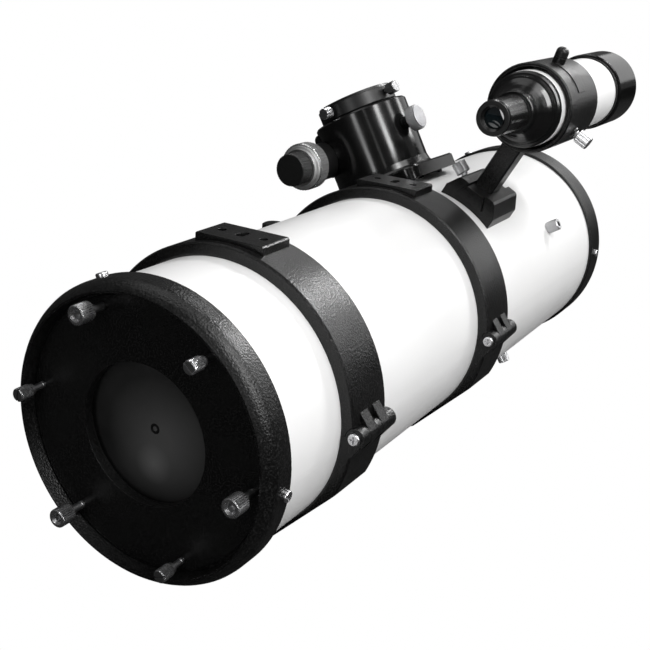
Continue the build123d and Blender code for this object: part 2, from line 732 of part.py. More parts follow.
def clamp_knob(start):
    """A fluted hand knob on the bolt that draws the two lugs together."""
    bottom = SPLIT / 2 + LUG_THICK + SPLIT / 2
    neck = upright(CLAMP_NECK_R, bottom, bottom + CLAMP_NECK)
    grip = Pos(0, 0, bottom + CLAMP_NECK) * knurled(CLAMP_HEAD_R, CLAMP_HEAD, 10, 1.6)
    dome = Pos(0, 0, bottom + CLAMP_NECK) * Cylinder(
        CLAMP_HEAD_R + 1, CLAMP_HEAD, align=(Align.CENTER, Align.CENTER, Align.MIN)
    )
    grip &= fillet(dome.edges().sort_by(Axis.Z)[-1], 5.0)
    bolt = upright(CLAMP_BOLT_R, -CLAMP_BOLT_BELOW, bottom + 1)
    return Pos(start + RING_WIDE / 2, CLAMP_AT, 0) * (neck + grip + bolt)


# ---------------------------------------------------------------- focuser
def focuser_plane():
    return radial_plane(FOCUSER_X, FOCUSER_CLOCK)


def focuser_body():
    """Saddle plate and housing, bored for the drawtube and cut for the block."""
    above = 2 * BODY_TOP
    plate = extrude(Plane.XY.offset(BASE_BOTTOM) * base_outline(), BASE_TOP - BASE_BOTTOM)
    plate = chamfer(plate.edges().group_by(Axis.Z)[-1], 1.5)
    foot_r = BODY_R + BODY_FOOT
    profile = [
        (0, BASE_TOP - 4), (foot_r, BASE_TOP - 4), (foot_r, BASE_TOP),
        (BODY_R + 1.0, BASE_TOP + 2), (BODY_R, BASE_TOP + 7), (BODY_R, BODY_TOP - 1.5),
        (BODY_R - 1.5, BODY_TOP), (0, BODY_TOP),
    ]
    housing = revolve(make_face(Plane.XZ * Polyline(*profile, close=True)), Axis.Z)
    body = plate + housing
    body -= upright(BODY_BORE_R, 0, above)
    body -= Pos(0, (BLOCK_FACE + 2 * BODY_R) / 2, BLOCK_LOW + BLOCK_HIGH / 2) * Box(
        BLOCK_LONG, 2 * BODY_R - BLOCK_FACE, BLOCK_HIGH
    )
    for housing_r, start, end in shaft_housings():
        clear = along_x(housing_r + SNUG, start - 1 - SNUG, end + 1 + SNUG)
        body -= Pos(0, SHAFT_Y, SHAFT_HIGH) * clear
    lock_pad = Pos(DRAW_LOCK_X, -BODY_R + 1, DRAW_LOCK_HIGH) * Rot(90, 0, 0) * Cylinder(5.5, 6)
    body += lock_pad - upright(BODY_BORE_R, 0, above)
    lock_bore = Cylinder(DRAW_LOCK_SHANK_R + RUN, BODY_R)
    body -= Pos(DRAW_LOCK_X, -BODY_R, DRAW_LOCK_HIGH) * Rot(90, 0, 0) * lock_bore
    for height in roller_heights():
        for clock in ROLLER_CLOCKS:
            room = Box(2 * ROLLER_R + 1, ROLLER_LONG + 1, 2 * ROLLER_R + 1)
            body -= roller_place(height, clock) * room
    for x, y in base_screw_places():
        body -= Pos(x, y, 0) * upright(BASE_SCREW_R + SNUG, 0, above)
        body -= Pos(x, y, 0) * upright(BASE_SCREW_HEAD_R + SNUG, BASE_TOP - BASE_SCREW_HEAD, above)
    saddle = rod(TUBE_R, -2 * BODY_R, 2 * BODY_R)
    return focuser_plane() * body - Pos(FOCUSER_X, 0, 0) * saddle


def base_outline():
    """The saddle plate's outline, with round corners."""
    return RectangleRounded(BASE_LONG, BASE_WIDE, BASE_CORNER)


def roller_heights():
    return [TUBE_R + up for up in ROLLER_UPS]


def base_screw_places():
    return [(x, y) for x in (-BASE_SCREW_X, BASE_SCREW_X) for y in (-BASE_SCREW_Y, BASE_SCREW_Y)]


def focuser_screws():
    """Four cap screws, sunk in the saddle, that hold it to the tube."""
    screws = []
    top = BASE_TOP - SPLIT
    seat = BASE_TOP - BASE_SCREW_HEAD
    for x, y in base_screw_places():
        head = upright(BASE_SCREW_HEAD_R, seat, top)
        socket = Pos(0, 0, top - 2) * extrude(RegularPolygon(1.8, 6), 3)
        shank = upright(BASE_SCREW_R, BASE_BOTTOM - 9, seat)
        screws.append(focuser_plane() * Pos(x, y, 0) * (head - socket + shank))
    return screws


def roller_place(height, clock):
    """Centre of one guide roller: it rolls on the drawtube."""
    angle = math.radians(clock)
    reach = DRAWTUBE_R + 0.06 + ROLLER_R
    place = Pos(reach * math.cos(angle), reach * math.sin(angle), height)
    return place * Rot(0, 0, clock)


def guide_rollers():
    """Four rollers that carry the drawtube opposite the drive shaft."""
    rollers = []
    for height in roller_heights():
        for clock in ROLLER_CLOCKS:
            wheel = Rot(90, 0, 0) * Cylinder(ROLLER_R, ROLLER_LONG)
            rollers.append(focuser_plane() * roller_place(height, clock) * wheel)
    return rollers


def drawtube():
    """The sliding tube, with a flat track where the shaft bears."""
    tube = upright(DRAWTUBE_R, DRAWTUBE_BOTTOM, COLLAR_BOTTOM)
    tube -= upright(DRAWTUBE_BORE_R, 0, 2 * BODY_TOP)
    tube -= Pos(0, DRAWTUBE_FLAT + 5, (DRAWTUBE_BOTTOM + COLLAR_BOTTOM) / 2) * Box(
        2 * DRAWTUBE_R, 10, COLLAR_BOTTOM - DRAWTUBE_BOTTOM - 8
    )
    return focuser_plane() * tube


def drawtube_collar():
    """The clamp collar on top of the drawtube, with two screw bosses."""
    profile = [
        (TWO_INCH_R + 0.2, COLLAR_BOTTOM), (COLLAR_R - 1.5, COLLAR_BOTTOM),
        (COLLAR_R, COLLAR_BOTTOM + 1.5), (COLLAR_R, COLLAR_TOP - 2.5),
        (COLLAR_R - 1.0, COLLAR_TOP - 2.2), (COLLAR_R - 1.6, COLLAR_TOP),
        (TWO_INCH_R + 1.2, COLLAR_TOP), (TWO_INCH_R + 0.2, COLLAR_TOP - 1.0),
    ]
    collar = revolve(make_face(Plane.XZ * Polyline(*profile, close=True)), Axis.Z)
    groove_low = (COLLAR_BOTTOM + COLLAR_TOP) / 2 - 3.0
    groove = upright(TWO_INCH_R + 2.0, groove_low, groove_low + 6.0)
    collar -= groove
    for clock in COLLAR_SCREWS.values():
        collar -= collar_screw_place(clock) * upright(THUMB_SHANK_R + RUN, 0, 60)
    return focuser_plane() * collar


def collar_screw_place(clock):
    """A plane at the collar's mid height, normal along the screw."""
    angle = math.radians(clock)
    height = (COLLAR_BOTTOM + COLLAR_TOP) / 2
    return Plane(
        origin=(0, 0, height), x_dir=(0, 0, 1), z_dir=(math.cos(angle), math.sin(angle), 0)
    )


def compression_ring():
    """The split brass band that the collar screws press on."""
    middle = (COLLAR_BOTTOM + COLLAR_TOP) / 2
    band = upright(TWO_INCH_R + 1.7, middle - 2.7, middle + 2.7)
    band -= upright(TWO_INCH_R + 0.9, 0, 2 * BODY_TOP)
    band -= Pos(0, TWO_INCH_R + 1, middle) * Box(3, 6, 8)
    return focuser_plane() * band


def collar_screw(clock):
    screw = thumbscrew(TWO_INCH_R + 2.0, 1.8, COLLAR_R + 3.0, THUMB_R, THUMB_LONG)
    return focuser_plane() * (collar_screw_place(clock) * screw)


def shaft_line():
    """The drive shaft's axis: along X, just off the drawtube's flat."""
    return focuser_plane() * Pos(0, SHAFT_Y, SHAFT_HIGH)


def shaft_housings():
    """Round housings on the shaft block: (radius, start, end) along X."""
    half = BLOCK_LONG / 2
    return [(GEAR_HOUSING_R, -HOUSING_END, -half), (SLEEVE_R, half, HOUSING_END)]


def along_x(radius, start, end):
    """A bar along the focuser's own X."""
    bar = Rot(0, 90, 0) * Cylinder(radius, end - start, align=(Align.CENTER, Align.CENTER, Align.MIN))
    return Pos(start, 0, 0) * bar


def shaft_block():
    """The block that presses the shaft on the drawtube, with its housings."""
    long = BLOCK_LONG - 2 * SNUG
    low = BLOCK_LOW + SNUG
    high = BLOCK_LOW + BLOCK_HIGH - SNUG
    block = Pos(0, (BLOCK_FACE + BLOCK_OUT) / 2 + SNUG, (low + high) / 2) * Box(
        long, BLOCK_OUT - BLOCK_FACE, high - low
    )
    edges = block.edges().filter_by(Axis.X).sort_by(Axis.Y)[-2:]
    block = fillet(edges, BLOCK_ROUND)
    for housing_r, start, end in shaft_housings():
        inner = 1.0 if start > 0 else -1.0
        bar = along_x(housing_r, min(start, start - inner), max(end, end - inner))
        block += Pos(0, SHAFT_Y, SHAFT_HIGH) * chamfer(bar.edges(), 0.8)
    block -= upright(DRAWTUBE_R + 0.6, 0, 2 * BODY_TOP)
    window = Pos(0, BLOCK_FACE, SHAFT_HIGH) * Box(BLOCK_LONG - 16, 2 * SHAFT_R + 6, 2 * SHAFT_R + 2)
    block -= window
    bore = along_x(SHAFT_R + RUN, -COARSE_NEAR, COARSE_NEAR)
    block -= Pos(0, SHAFT_Y, SHAFT_HIGH) * bore
    return focuser_plane() * block


def pinion_shaft():
    """The smooth drive shaft."""
    end = COARSE_NEAR + COARSE_LONG
    return shaft_line() * along_x(SHAFT_R, -end + 2, end - 2)


def coarse_knobs():
    """The two coarse knobs, each with a stepped polished face."""
    grip_long = COARSE_LONG - 2 * COARSE_STEP
    knobs = []
    for turn in (0, 180):
        grip = knurled(COARSE_R, grip_long, 48, 0.4)
        step = upright(COARSE_R - 2.5, grip_long - 0.2, grip_long + COARSE_STEP)
        step += upright(COARSE_R - 4.4, grip_long, COARSE_LONG)
        neck = upright(KNOB_NECK_R, HOUSING_END + 2 * SPLIT - COARSE_NEAR, 0)
        knob = grip + step + neck - upright(SHAFT_R, -COARSE_NEAR, COARSE_LONG - 2)
        knobs.append(shaft_line() * Rot(0, 0, turn) * Pos(-COARSE_NEAR, 0, 0) * Rot(0, -90, 0) * knob)
    return knobs


def fine_knob():
    """The fine-motion knob on the rear end of the shaft."""
    grip = knurled(FINE_R, FINE_LONG, 36, 0.3)
    start = COARSE_NEAR + COARSE_LONG + SPLIT
    return shaft_line() * Pos(-start, 0, 0) * Rot(0, -90, 0) * grip


def draw_lock():
    """The knurled screw that locks the drawtube."""
    tip = DRAWTUBE_R + 0.3
    head = BODY_R + DRAW_LOCK_STAND
    screw = upright(DRAW_LOCK_SHANK_R, tip, head) + upright(4.0, BODY_R + 2.5, head)
    screw += Pos(0, 0, head) * knurled(DRAW_LOCK_R, DRAW_LOCK_LONG - 1.0, 36, 0.35)
    screw += upright(DRAW_LOCK_R - 1.2, head + DRAW_LOCK_LONG - 1.2, head + DRAW_LOCK_LONG)
    place = Plane(origin=(DRAW_LOCK_X, 0, DRAW_LOCK_HIGH), x_dir=(1, 0, 0), z_dir=(0, -1, 0))
    return focuser_plane() * (place * screw)


# ---------------------------------------------------------------- finder
def on_finder(shape):
    """Move a shape turned about X onto the finder's axis."""
    angle = math.radians(FINDER_CLOCK)
    return Pos(0, FINDER_RHO * math.cos(angle), FINDER_RHO * math.sin(angle)) * shape


def finder_shoe():
    """The dovetail shoe screwed to the tube."""
    wall_top = SHOE_HALF - SHOE_SLOPE
    sunk = math.sqrt(TUBE_R ** 2 - SHOE_HALF ** 2) - SHOE_SLOPE
    outline = make_face(Polyline(
        (-SHOE_HALF, sunk), (-SHOE_HALF, FOOT_BOTTOM), (-wall_top, SHOE_HIGH),
        (wall_top, SHOE_HIGH), (SHOE_HALF, FOOT_BOTTOM), (SHOE_HALF, sunk), close=True,
    ))
    channel = make_face(Polyline(
        (-FOOT_HALF_LOW - SPLIT, FOOT_BOTTOM - SPLIT), (FOOT_HALF_LOW + SPLIT, FOOT_BOTTOM - SPLIT),
        (FOOT_HALF_HIGH + SPLIT, FOOT_TOP), (FOOT_HALF_HIGH + SPLIT, SHOE_HIGH + 1),
        (-FOOT_HALF_HIGH - SPLIT, SHOE_HIGH + 1), (-FOOT_HALF_HIGH - SPLIT, FOOT_TOP), close=True,
    ))
    end = Plane(origin=(SHOE_X - SHOE_LONG / 2, 0, 0), x_dir=(0, 1, 0), z_dir=(1, 0, 0))
    shoe = extrude(end * outline, SHOE_LONG)
    shoe = chamfer(shoe.edges().filter_by(Axis.X).group_by(Axis.Z)[-1], 1.5)
    shoe -= extrude(end * channel, SHOE_LONG)
    shoe -= Pos(SHOE_X, 0, 0) * shoe_screw_place() * upright(2.0 + RUN, -5, 60)
    shoe = Rot(FINDER_CLOCK - 90, 0, 0) * shoe
    return shoe - rod(TUBE_R, SHOE_X - SHOE_LONG, SHOE_X + SHOE_LONG)


def shoe_screw_place():
    """The shoe screw's seat: square to the foot's slope, on the +Y side."""
    rise = FOOT_TOP - FOOT_BOTTOM
    run = FOOT_HALF_LOW - FOOT_HALF_HIGH
    middle_y = -(FOOT_HALF_LOW + FOOT_HALF_HIGH) / 2
    middle_z = (FOOT_TOP + FOOT_BOTTOM) / 2
    return Plane(
        origin=(SHOE_SCREW_X, -middle_y, middle_z), x_dir=(1, 0, 0), z_dir=(0, rise, run)
    )


def shoe_screw():
    screw = thumbscrew(SPLIT, 1.8, SHOE_SCREW_STAND, SHOE_THUMB_R, SHOE_THUMB_LONG, 2.0)
    placed = Pos(SHOE_X, 0, 0) * (shoe_screw_place() * screw)
    return Rot(FINDER_CLOCK - 90, 0, 0) * placed


def finder_bracket():
    """Ring, stem and dovetail foot in one casting."""
    start, end = BRACKET_SPAN
    collar = turned([
        (start, BRACKET_BORE_R + 0.6), (start, BRACKET_R - 1.0), (start + 1.0, BRACKET_R),
        (end - 1.0, BRACKET_R), (end, BRACKET_R - 1.0), (end, BRACKET_BORE_R + 0.6),
        (end - 0.6, BRACKET_BORE_R), (start + 0.6, BRACKET_BORE_R),
    ])
    strip = make_face(Polyline(
        (AIM_X - STRIP_WIDE / 2, BRACKET_BORE_R + 1), (AIM_X - STRIP_WIDE / 2, BRACKET_R + STRIP_HIGH),
        (AIM_X + STRIP_WIDE / 2, BRACKET_R + STRIP_HIGH), (AIM_X + STRIP_WIDE / 2, BRACKET_BORE_R + 1),
        close=True,
    ))
    collar += Rot(PLUNGER_CLOCK, 0, 0) * revolve(strip, Axis.X, STRIP_ARC)
    root = BRACKET_BORE_R + 1
    for clock in AIM_SCREWS.values():
        collar += aim_place(clock) * upright(4.2, root, BRACKET_R + AIM_BOSS)
    collar += aim_place(PLUNGER_CLOCK) * upright(PLUNGER_POST_R, root, BRACKET_R + PLUNGER_BOSS)
    for clock in AIM_SCREWS.values():
        collar -= aim_place(clock) * upright(THUMB_SHANK_R + RUN, 0, 60)
    collar -= aim_place(PLUNGER_CLOCK) * upright(PLUNGER_R + RUN, 0, 60)
    foot = Plane(
        origin=(SHOE_X - FOOT_LONG / 2 - FOOT_SET_BACK, 0, 0), x_dir=(0, 1, 0), z_dir=(1, 0, 0)
    ) * make_face(Polyline(
        (-FOOT_HALF_LOW, FOOT_BOTTOM), (FOOT_HALF_LOW, FOOT_BOTTOM), (FOOT_HALF_HIGH, FOOT_TOP),
        (-FOOT_HALF_HIGH, FOOT_TOP), close=True,
    ))
    post_top = FINDER_RHO - BRACKET_BORE_R - 1.5
    post = Pos(STEM_X, 0, (FOOT_TOP - 1 + post_top) / 2) * Box(
        STEM_SIDE, STEM_SIDE, post_top - FOOT_TOP + 1
    )
    post = chamfer(post.edges().filter_by(Axis.Z), 1.2)
    lower = Rot(FINDER_CLOCK - 90, 0, 0) * (extrude(foot, FOOT_LONG) + post)
    lower -= on_finder(rod(BRACKET_BORE_R, start - 5, end + 5))
    return on_finder(collar) + lower


def aim_place(clock):
    """Radial plane of one aiming contact, about the finder's axis."""
    return radial_plane(AIM_X, clock)


def aim_screw(clock):
    head = BRACKET_R + AIM_STAND
    screw = thumbscrew(FINDER_TUBE_R + AIM_GAP, 2.0, head, AIM_THUMB_R, AIM_THUMB_LONG)
    return on_finder(aim_place(clock) * screw)


def plunger():
    """The sprung plunger that pushes the finder on its two screws."""
    foot = BRACKET_R + PLUNGER_BOSS + SPLIT
    pin = upright(PLUNGER_R, FINDER_TUBE_R + AIM_GAP, foot + 1)
    cap = upright(PLUNGER_POST_R, foot, foot + PLUNGER_CAP)
    cap = fillet(cap.edges().sort_by(Axis.Z)[-1], 4.0)
    return on_finder(aim_place(PLUNGER_CLOCK) * (pin + cap))


def finder_tube():
    start, end = FINDER_TUBE
    inner = FINDER_TUBE_R - FINDER_WALL
    return on_finder(turned([
        (start, inner), (start, FINDER_TUBE_R - 0.5), (start + 0.5, FINDER_TUBE_R),
        (end, FINDER_TUBE_R), (end, inner),
    ]))


def finder_o_ring():
    """The rubber ring that the finder pivots in."""
    middle = (FINDER_TUBE_R + BRACKET_BORE_R) / 2
    section = Plane.XY * Pos(ORING_X, middle) * Circle(ORING_WIRE)
    return on_finder(revolve(section, Axis.X))


def finder_objective():
    """Lens cell, lock ring and dew hood."""
    start = FINDER_TUBE[1]
    inner = FINDER_TUBE_R - FINDER_WALL - SNUG
    seat = LENS_X + LENS_THICK
    neck = start + 4.5
    hood = turned([
        (start - 8.0, inner - 1.5), (start - 8.0, inner), (start + SPLIT, inner),
        (start + SPLIT, HOOD_NECK_R), (start + 2.5, HOOD_NECK_R), (start + 2.8, HOOD_NECK_R - 0.8),
        (neck - 0.5, HOOD_NECK_R - 0.8), (neck, HOOD_R - 0.8), (neck + 0.8, HOOD_R),
        (HOOD_END - 0.8, HOOD_R), (HOOD_END, HOOD_R - 0.8), (HOOD_END, HOOD_R - HOOD_WALL),
        (seat + 4.0, HOOD_R - HOOD_WALL - 0.2), (seat + 1.2, LENS_R - 0.5), (seat, LENS_R - 0.5),
        (seat, LENS_R + SNUG), (LENS_X, LENS_R + SNUG), (LENS_X, LENS_R - 1.5),
        (start + 1.0, LENS_R - 1.5),
    ])
    return on_finder(hood)


def finder_lens():
    """The objective, bulged on its front face."""
    bulge = 1.6
    edge = Polyline(
        (LENS_X + LENS_THICK - bulge, LENS_R), (LENS_X, LENS_R), (LENS_X, 0),
        (LENS_X + LENS_THICK, 0),
    )
    face = ThreePointArc(
        (LENS_X + LENS_THICK, 0), (LENS_X + LENS_THICK - bulge / 4, LENS_R / 2),
        (LENS_X + LENS_THICK - bulge, LENS_R),
    )
    return on_finder(revolve(make_face(edge + face), Axis.X))


def finder_eyepiece():
    """The hollow rear dish and eyepiece barrel, with a seat for the eye lens."""
    start = FINDER_TUBE[0]
    plug = FINDER_TUBE_R - FINDER_WALL - SNUG
    end = start - EYE_LONG
    dish = [(start - behind, FINDER_TUBE_R - in_) for behind, in_ in EYE_DISH]
    ring_near, ring_far = start - EYE_RING[0], start - EYE_RING[1]
    barrel = EYE_BARREL_R
    return on_finder(turned([
        (start + 6.0, plug - 1.5), (start + 6.0, plug), (start - SNUG, plug),
        (start - SNUG, FINDER_TUBE_R - 0.2), *dish,
        (ring_near + 0.6, EYE_RING_R + 0.9), (ring_near, EYE_RING_R), (ring_far + 0.5, EYE_RING_R),
        (ring_far, EYE_RING_R - 0.5), (ring_far, barrel + 0.2),
        (end + 2.0, barrel), (end, barrel - 0.6), (end, EYE_LENS_R + 2.6),
        (end + 2.0, EYE_LENS_R + SNUG), (end + 6.0, EYE_LENS_R + SNUG), (end + 6.0, EYE_LENS_R - 1.0),
        (ring_far - 3.0, EYE_LENS_R - 1.0), (ring_far, barrel - 3.0), (ring_near, EYE_RING_R - 3.0),
        (start - 9.0, FINDER_TUBE_R - 10.0), (start - 5.0, plug - 4.0), (start - 1.0, plug - 1.5),
    ]))


def finder_eye_lens():
    """The eye lens, bulged towards the eye."""
    end = FINDER_TUBE[0] - EYE_LONG
    points = Polyline((end + 3.2, EYE_LENS_R), (end + 5.8, EYE_LENS_R), (end + 5.8, 0), (end + 2.2, 0))
    face = ThreePointArc((end + 2.2, 0), (end + 2.45, EYE_LENS_R / 2), (end + 3.2, EYE_LENS_R))
    return on_finder(revolve(make_face(points + face), Axis.X))


# ---------------------------------------------------------------- build
def all_parts():
    """Every sub-part by name."""
    parts = {
        "tube": main_tube(),
        "rear_cell": rear_cell(),
        "rear_cell_screws": end_screws(end_screw_places()[:END_SCREWS], CELL_R),
        "front_ring": front_ring(),
        "front_ring_screws": end_screws(end_screw_places()[END_SCREWS:], FRONT_R),
        "spider": spider(),
        "vane_nuts": vane_nuts(),
        "secondary_bolt": secondary_bolt(),
        "secondary_holder": secondary_holder(),
        "secondary_mirror": secondary_mirror(),
        "secondary_screws": secondary_screws(),
        "mirror_tray": mirror_tray(),
        "primary_mirror": primary_mirror(),
        "mirror_clips": mirror_clips(),
        "collimation_springs": [collimation_spring(clock) for clock in collim_clocks()],
        "focuser_body": focuser_body(),
        "focuser_screws": focuser_screws(),
        "guide_rollers": guide_rollers(),
        "shaft_block": shaft_block(),
        "drawtube": drawtube(),
        "drawtube_collar": drawtube_collar(),
        "compression_ring": compression_ring(),
        "pinion_shaft": pinion_shaft(),
        "coarse_knobs": coarse_knobs(),
        "fine_knob": fine_knob(),
        "draw_lock": draw_lock(),
        "finder_shoe": finder_shoe(),
        "shoe_screw": shoe_screw(),
        "finder_bracket": finder_bracket(),
        "finder_plunger": plunger(),
        "finder_tube": finder_tube(),
        "finder_o_ring": finder_o_ring(),
        "finder_objective": finder_objective(),
        "finder_lens": finder_lens(),
        "finder_eyepiece": finder_eyepiece(),
        "finder_eye_lens": finder_eye_lens(),
    }
    for letter, clock in zip("abc", collim_clocks()):
        parts[f"collimation_knob_{letter}"] = collimation_knob(clock)
    for letter, clock in zip("abc", lock_clocks()):
        parts[f"lock_screw_{letter}"] = lock_screw(clock)
    for letter, clock in COLLAR_SCREWS.items():
        parts[f"collar_screw_{letter}"] = collar_screw(clock)
    for letter, clock in AIM_SCREWS.items():
        parts[f"finder_screw_{letter}"] = aim_screw(clock)
    for place, start in RING_PLACES.items():
        parts[f"{place}_ring_lower"] = ring_half(start, upper=False)
        parts[f"{place}_ring_upper"] = ring_half(start, upper=True)
        parts[f"{place}_felt_lower"] = felt_half(start, upper=False)
        parts[f"{place}_felt_upper"] = felt_half(start, upper=True)
        parts[f"{place}_hinge_pin"] = hinge_pin(start)
        parts[f"{place}_clamp_knob"] = clamp_knob(start)
    return parts


os.makedirs("parts", exist_ok=True)
for name, shape in all_parts().items():
    if isinstance(shape, list):
        shape = Compound(children=shape)
    save(name, shape)
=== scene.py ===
"""Looks for a reflector telescope tube held in two hinged cradle rings.

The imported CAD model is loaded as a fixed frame. Each sub-assembly is a class that dresses its CAD
nodes and adds the fine pieces that ride on them: screw threads, socket screws, a lens ring, an eye
pad and the mirror's centre mark.
"""

import logging
import math
from dataclasses import dataclass
from enum import Enum
from typing import Callable, ClassVar, Sequence, Union

import bmesh
import bpy
from mathutils import Matrix, Vector


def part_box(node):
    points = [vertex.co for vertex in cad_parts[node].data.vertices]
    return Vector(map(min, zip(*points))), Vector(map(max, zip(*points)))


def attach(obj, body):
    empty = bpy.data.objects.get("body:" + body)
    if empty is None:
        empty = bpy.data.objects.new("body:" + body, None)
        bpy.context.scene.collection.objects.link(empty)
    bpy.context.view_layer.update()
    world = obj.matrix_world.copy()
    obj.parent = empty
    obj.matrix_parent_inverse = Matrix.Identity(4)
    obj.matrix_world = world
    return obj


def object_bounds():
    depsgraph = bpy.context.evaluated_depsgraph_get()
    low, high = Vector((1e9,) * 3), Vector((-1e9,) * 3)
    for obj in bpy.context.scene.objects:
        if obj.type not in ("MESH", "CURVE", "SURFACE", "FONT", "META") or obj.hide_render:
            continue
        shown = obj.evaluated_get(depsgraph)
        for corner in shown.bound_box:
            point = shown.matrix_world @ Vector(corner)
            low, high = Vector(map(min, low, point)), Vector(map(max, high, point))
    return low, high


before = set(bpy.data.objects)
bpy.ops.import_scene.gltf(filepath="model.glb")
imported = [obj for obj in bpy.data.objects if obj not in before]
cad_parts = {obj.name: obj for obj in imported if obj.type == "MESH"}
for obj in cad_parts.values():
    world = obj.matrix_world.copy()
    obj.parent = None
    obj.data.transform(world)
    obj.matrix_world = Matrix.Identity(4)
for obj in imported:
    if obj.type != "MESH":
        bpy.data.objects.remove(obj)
CAD_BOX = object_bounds()

LOG = logging.getLogger("telescope")
MM = 0.001
Number = Union[int, float]
Triple = tuple[float, float, float]


# ---------------------------------------------------------------- directions
def clock(angle: float) -> tuple[float, float]:
    """Unit (y, z) at an angle about the tube's axis, from +Y towards +Z.

    Args:
        angle: The angle in degrees.

    Returns:
        The direction's y and z.
    """
    turn = math.radians(angle)
    return math.cos(turn), math.sin(turn)


FOCUSER_CLOCK = 60.0
FINDER_CLOCK = 117.5
FOCUSER_OUT: Triple = (0.0, *clock(FOCUSER_CLOCK))
FOCUSER_SIDE: Triple = (0.0, FOCUSER_OUT[2], -FOCUSER_OUT[1])
ALONG: Triple = (1.0, 0.0, 0.0)
BACKWARDS: Triple = (-1.0, 0.0, 0.0)
UP: Triple = (0.0, 0.0, 1.0)


def centre_of(node: str) -> Vector:
    """The middle of a CAD node's box, in metres."""
    low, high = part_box(node)
    return (low + high) / 2


@dataclass(frozen=True)
class Spindle:
    """A line that a pattern or a turned piece is centred on.

    Attributes:
        origin: A point on the line, in metres.
        axis: The line's unit direction.
    """

    origin: Triple
    axis: Triple = ALONG

    def turn(self) -> Matrix:
        """The matrix that takes +Z and the world's origin onto this line."""
        rotation = Vector(UP).rotation_difference(Vector(self.axis)).to_matrix().to_4x4()
        return Matrix.Translation(Vector(self.origin)) @ rotation

    def sides(self) -> tuple[Vector, Vector]:
        """Two unit directions square to the line and to each other."""
        rotation = Vector(UP).rotation_difference(Vector(self.axis)).to_matrix()
        return rotation @ Vector((1, 0, 0)), rotation @ Vector((0, 1, 0))


TUBE_LINE = Spindle((0.0, 0.0, 0.0))


# ---------------------------------------------------------------- shader graph
class Signal:
    """One shader socket that takes part in Python arithmetic."""

    def __init__(self, graph: "Graph", socket: bpy.types.NodeSocket) -> None:
        """Wraps a socket of a graph."""
        self.graph = graph
        self.socket = socket

    def _maths(self, operation: str, *values: "Value") -> "Signal":
        """A Math node on the given values."""
        return self.graph.add("ShaderNodeMath", {"operation": operation}, dict(enumerate(values)))

    def __add__(self, other: "Value") -> "Signal":
        """This plus other."""
        return self._maths("ADD", self, other)

    __radd__ = __add__

    def __sub__(self, other: "Value") -> "Signal":
        """This less other."""
        return self._maths("SUBTRACT", self, other)

    def __rsub__(self, other: "Value") -> "Signal":
        """Other less this."""
        return self._maths("SUBTRACT", other, self)

    def __mul__(self, other: "Value") -> "Signal":
        """This times other."""
        return self._maths("MULTIPLY", self, other)

    __rmul__ = __mul__

    def __truediv__(self, other: "Value") -> "Signal":
        """This over other."""
        return self._maths("DIVIDE", self, other)

    def __gt__(self, other: "Value") -> "Signal":
        """One where this is over other."""
        return self._maths("GREATER_THAN", self, other)

    def __lt__(self, other: "Value") -> "Signal":
        """One where this is under other."""
        return self._maths("LESS_THAN", self, other)

    def sine(self) -> "Signal":
        """The sine of this."""
        return self._maths("SINE", self)

    def size(self) -> "Signal":
        """This without its sign."""
        return self._maths("ABSOLUTE", self)

    def root(self) -> "Signal":
        """The square root of this."""
        return self._maths("SQRT", self)

    def highest(self, other: "Value") -> "Signal":
        """The larger of this and other."""
        return self._maths("MAXIMUM", self, other)

    def wave(self, step: float) -> "Signal":
        """A triangle wave of this, 0 to 1 and back in each step."""
        return self._maths("PINGPONG", self, step / 2) / (step / 2)

    def angle(self, other: "Signal") -> "Signal":
        """The angle whose tangent is this over other."""
        return self._maths("ARCTAN2", self, other)

    def span(self, low: float, high: float, start: float = 0.0, end: float = 1.0) -> "Signal":
        """This mapped from low..high onto start..end, held at both ends.

        Args:
            low: The value that gives start.
            high: The value that gives end.
            start: The result at low.
            end: The result at high.

        Returns:
            The mapped signal.
        """
        values: Sockets = {
            "Value": self, "From Min": low, "From Max": high, "To Min": start, "To Max": end,
        }
        return self.graph.add("ShaderNodeMapRange", {"clamp": True}, values)

    def spread(self, start: float = 0.0, end: float = 1.0) -> "Signal":
        """The middle stretch of this noise mapped onto start..end."""
        return self.span(0.3, 0.7, start, end)


Colour = tuple[float, float, float, float]
Value = Union[Signal, Number, Triple, Colour]
Settings = dict[str, object]
Sockets = dict[Union[str, int], Value]


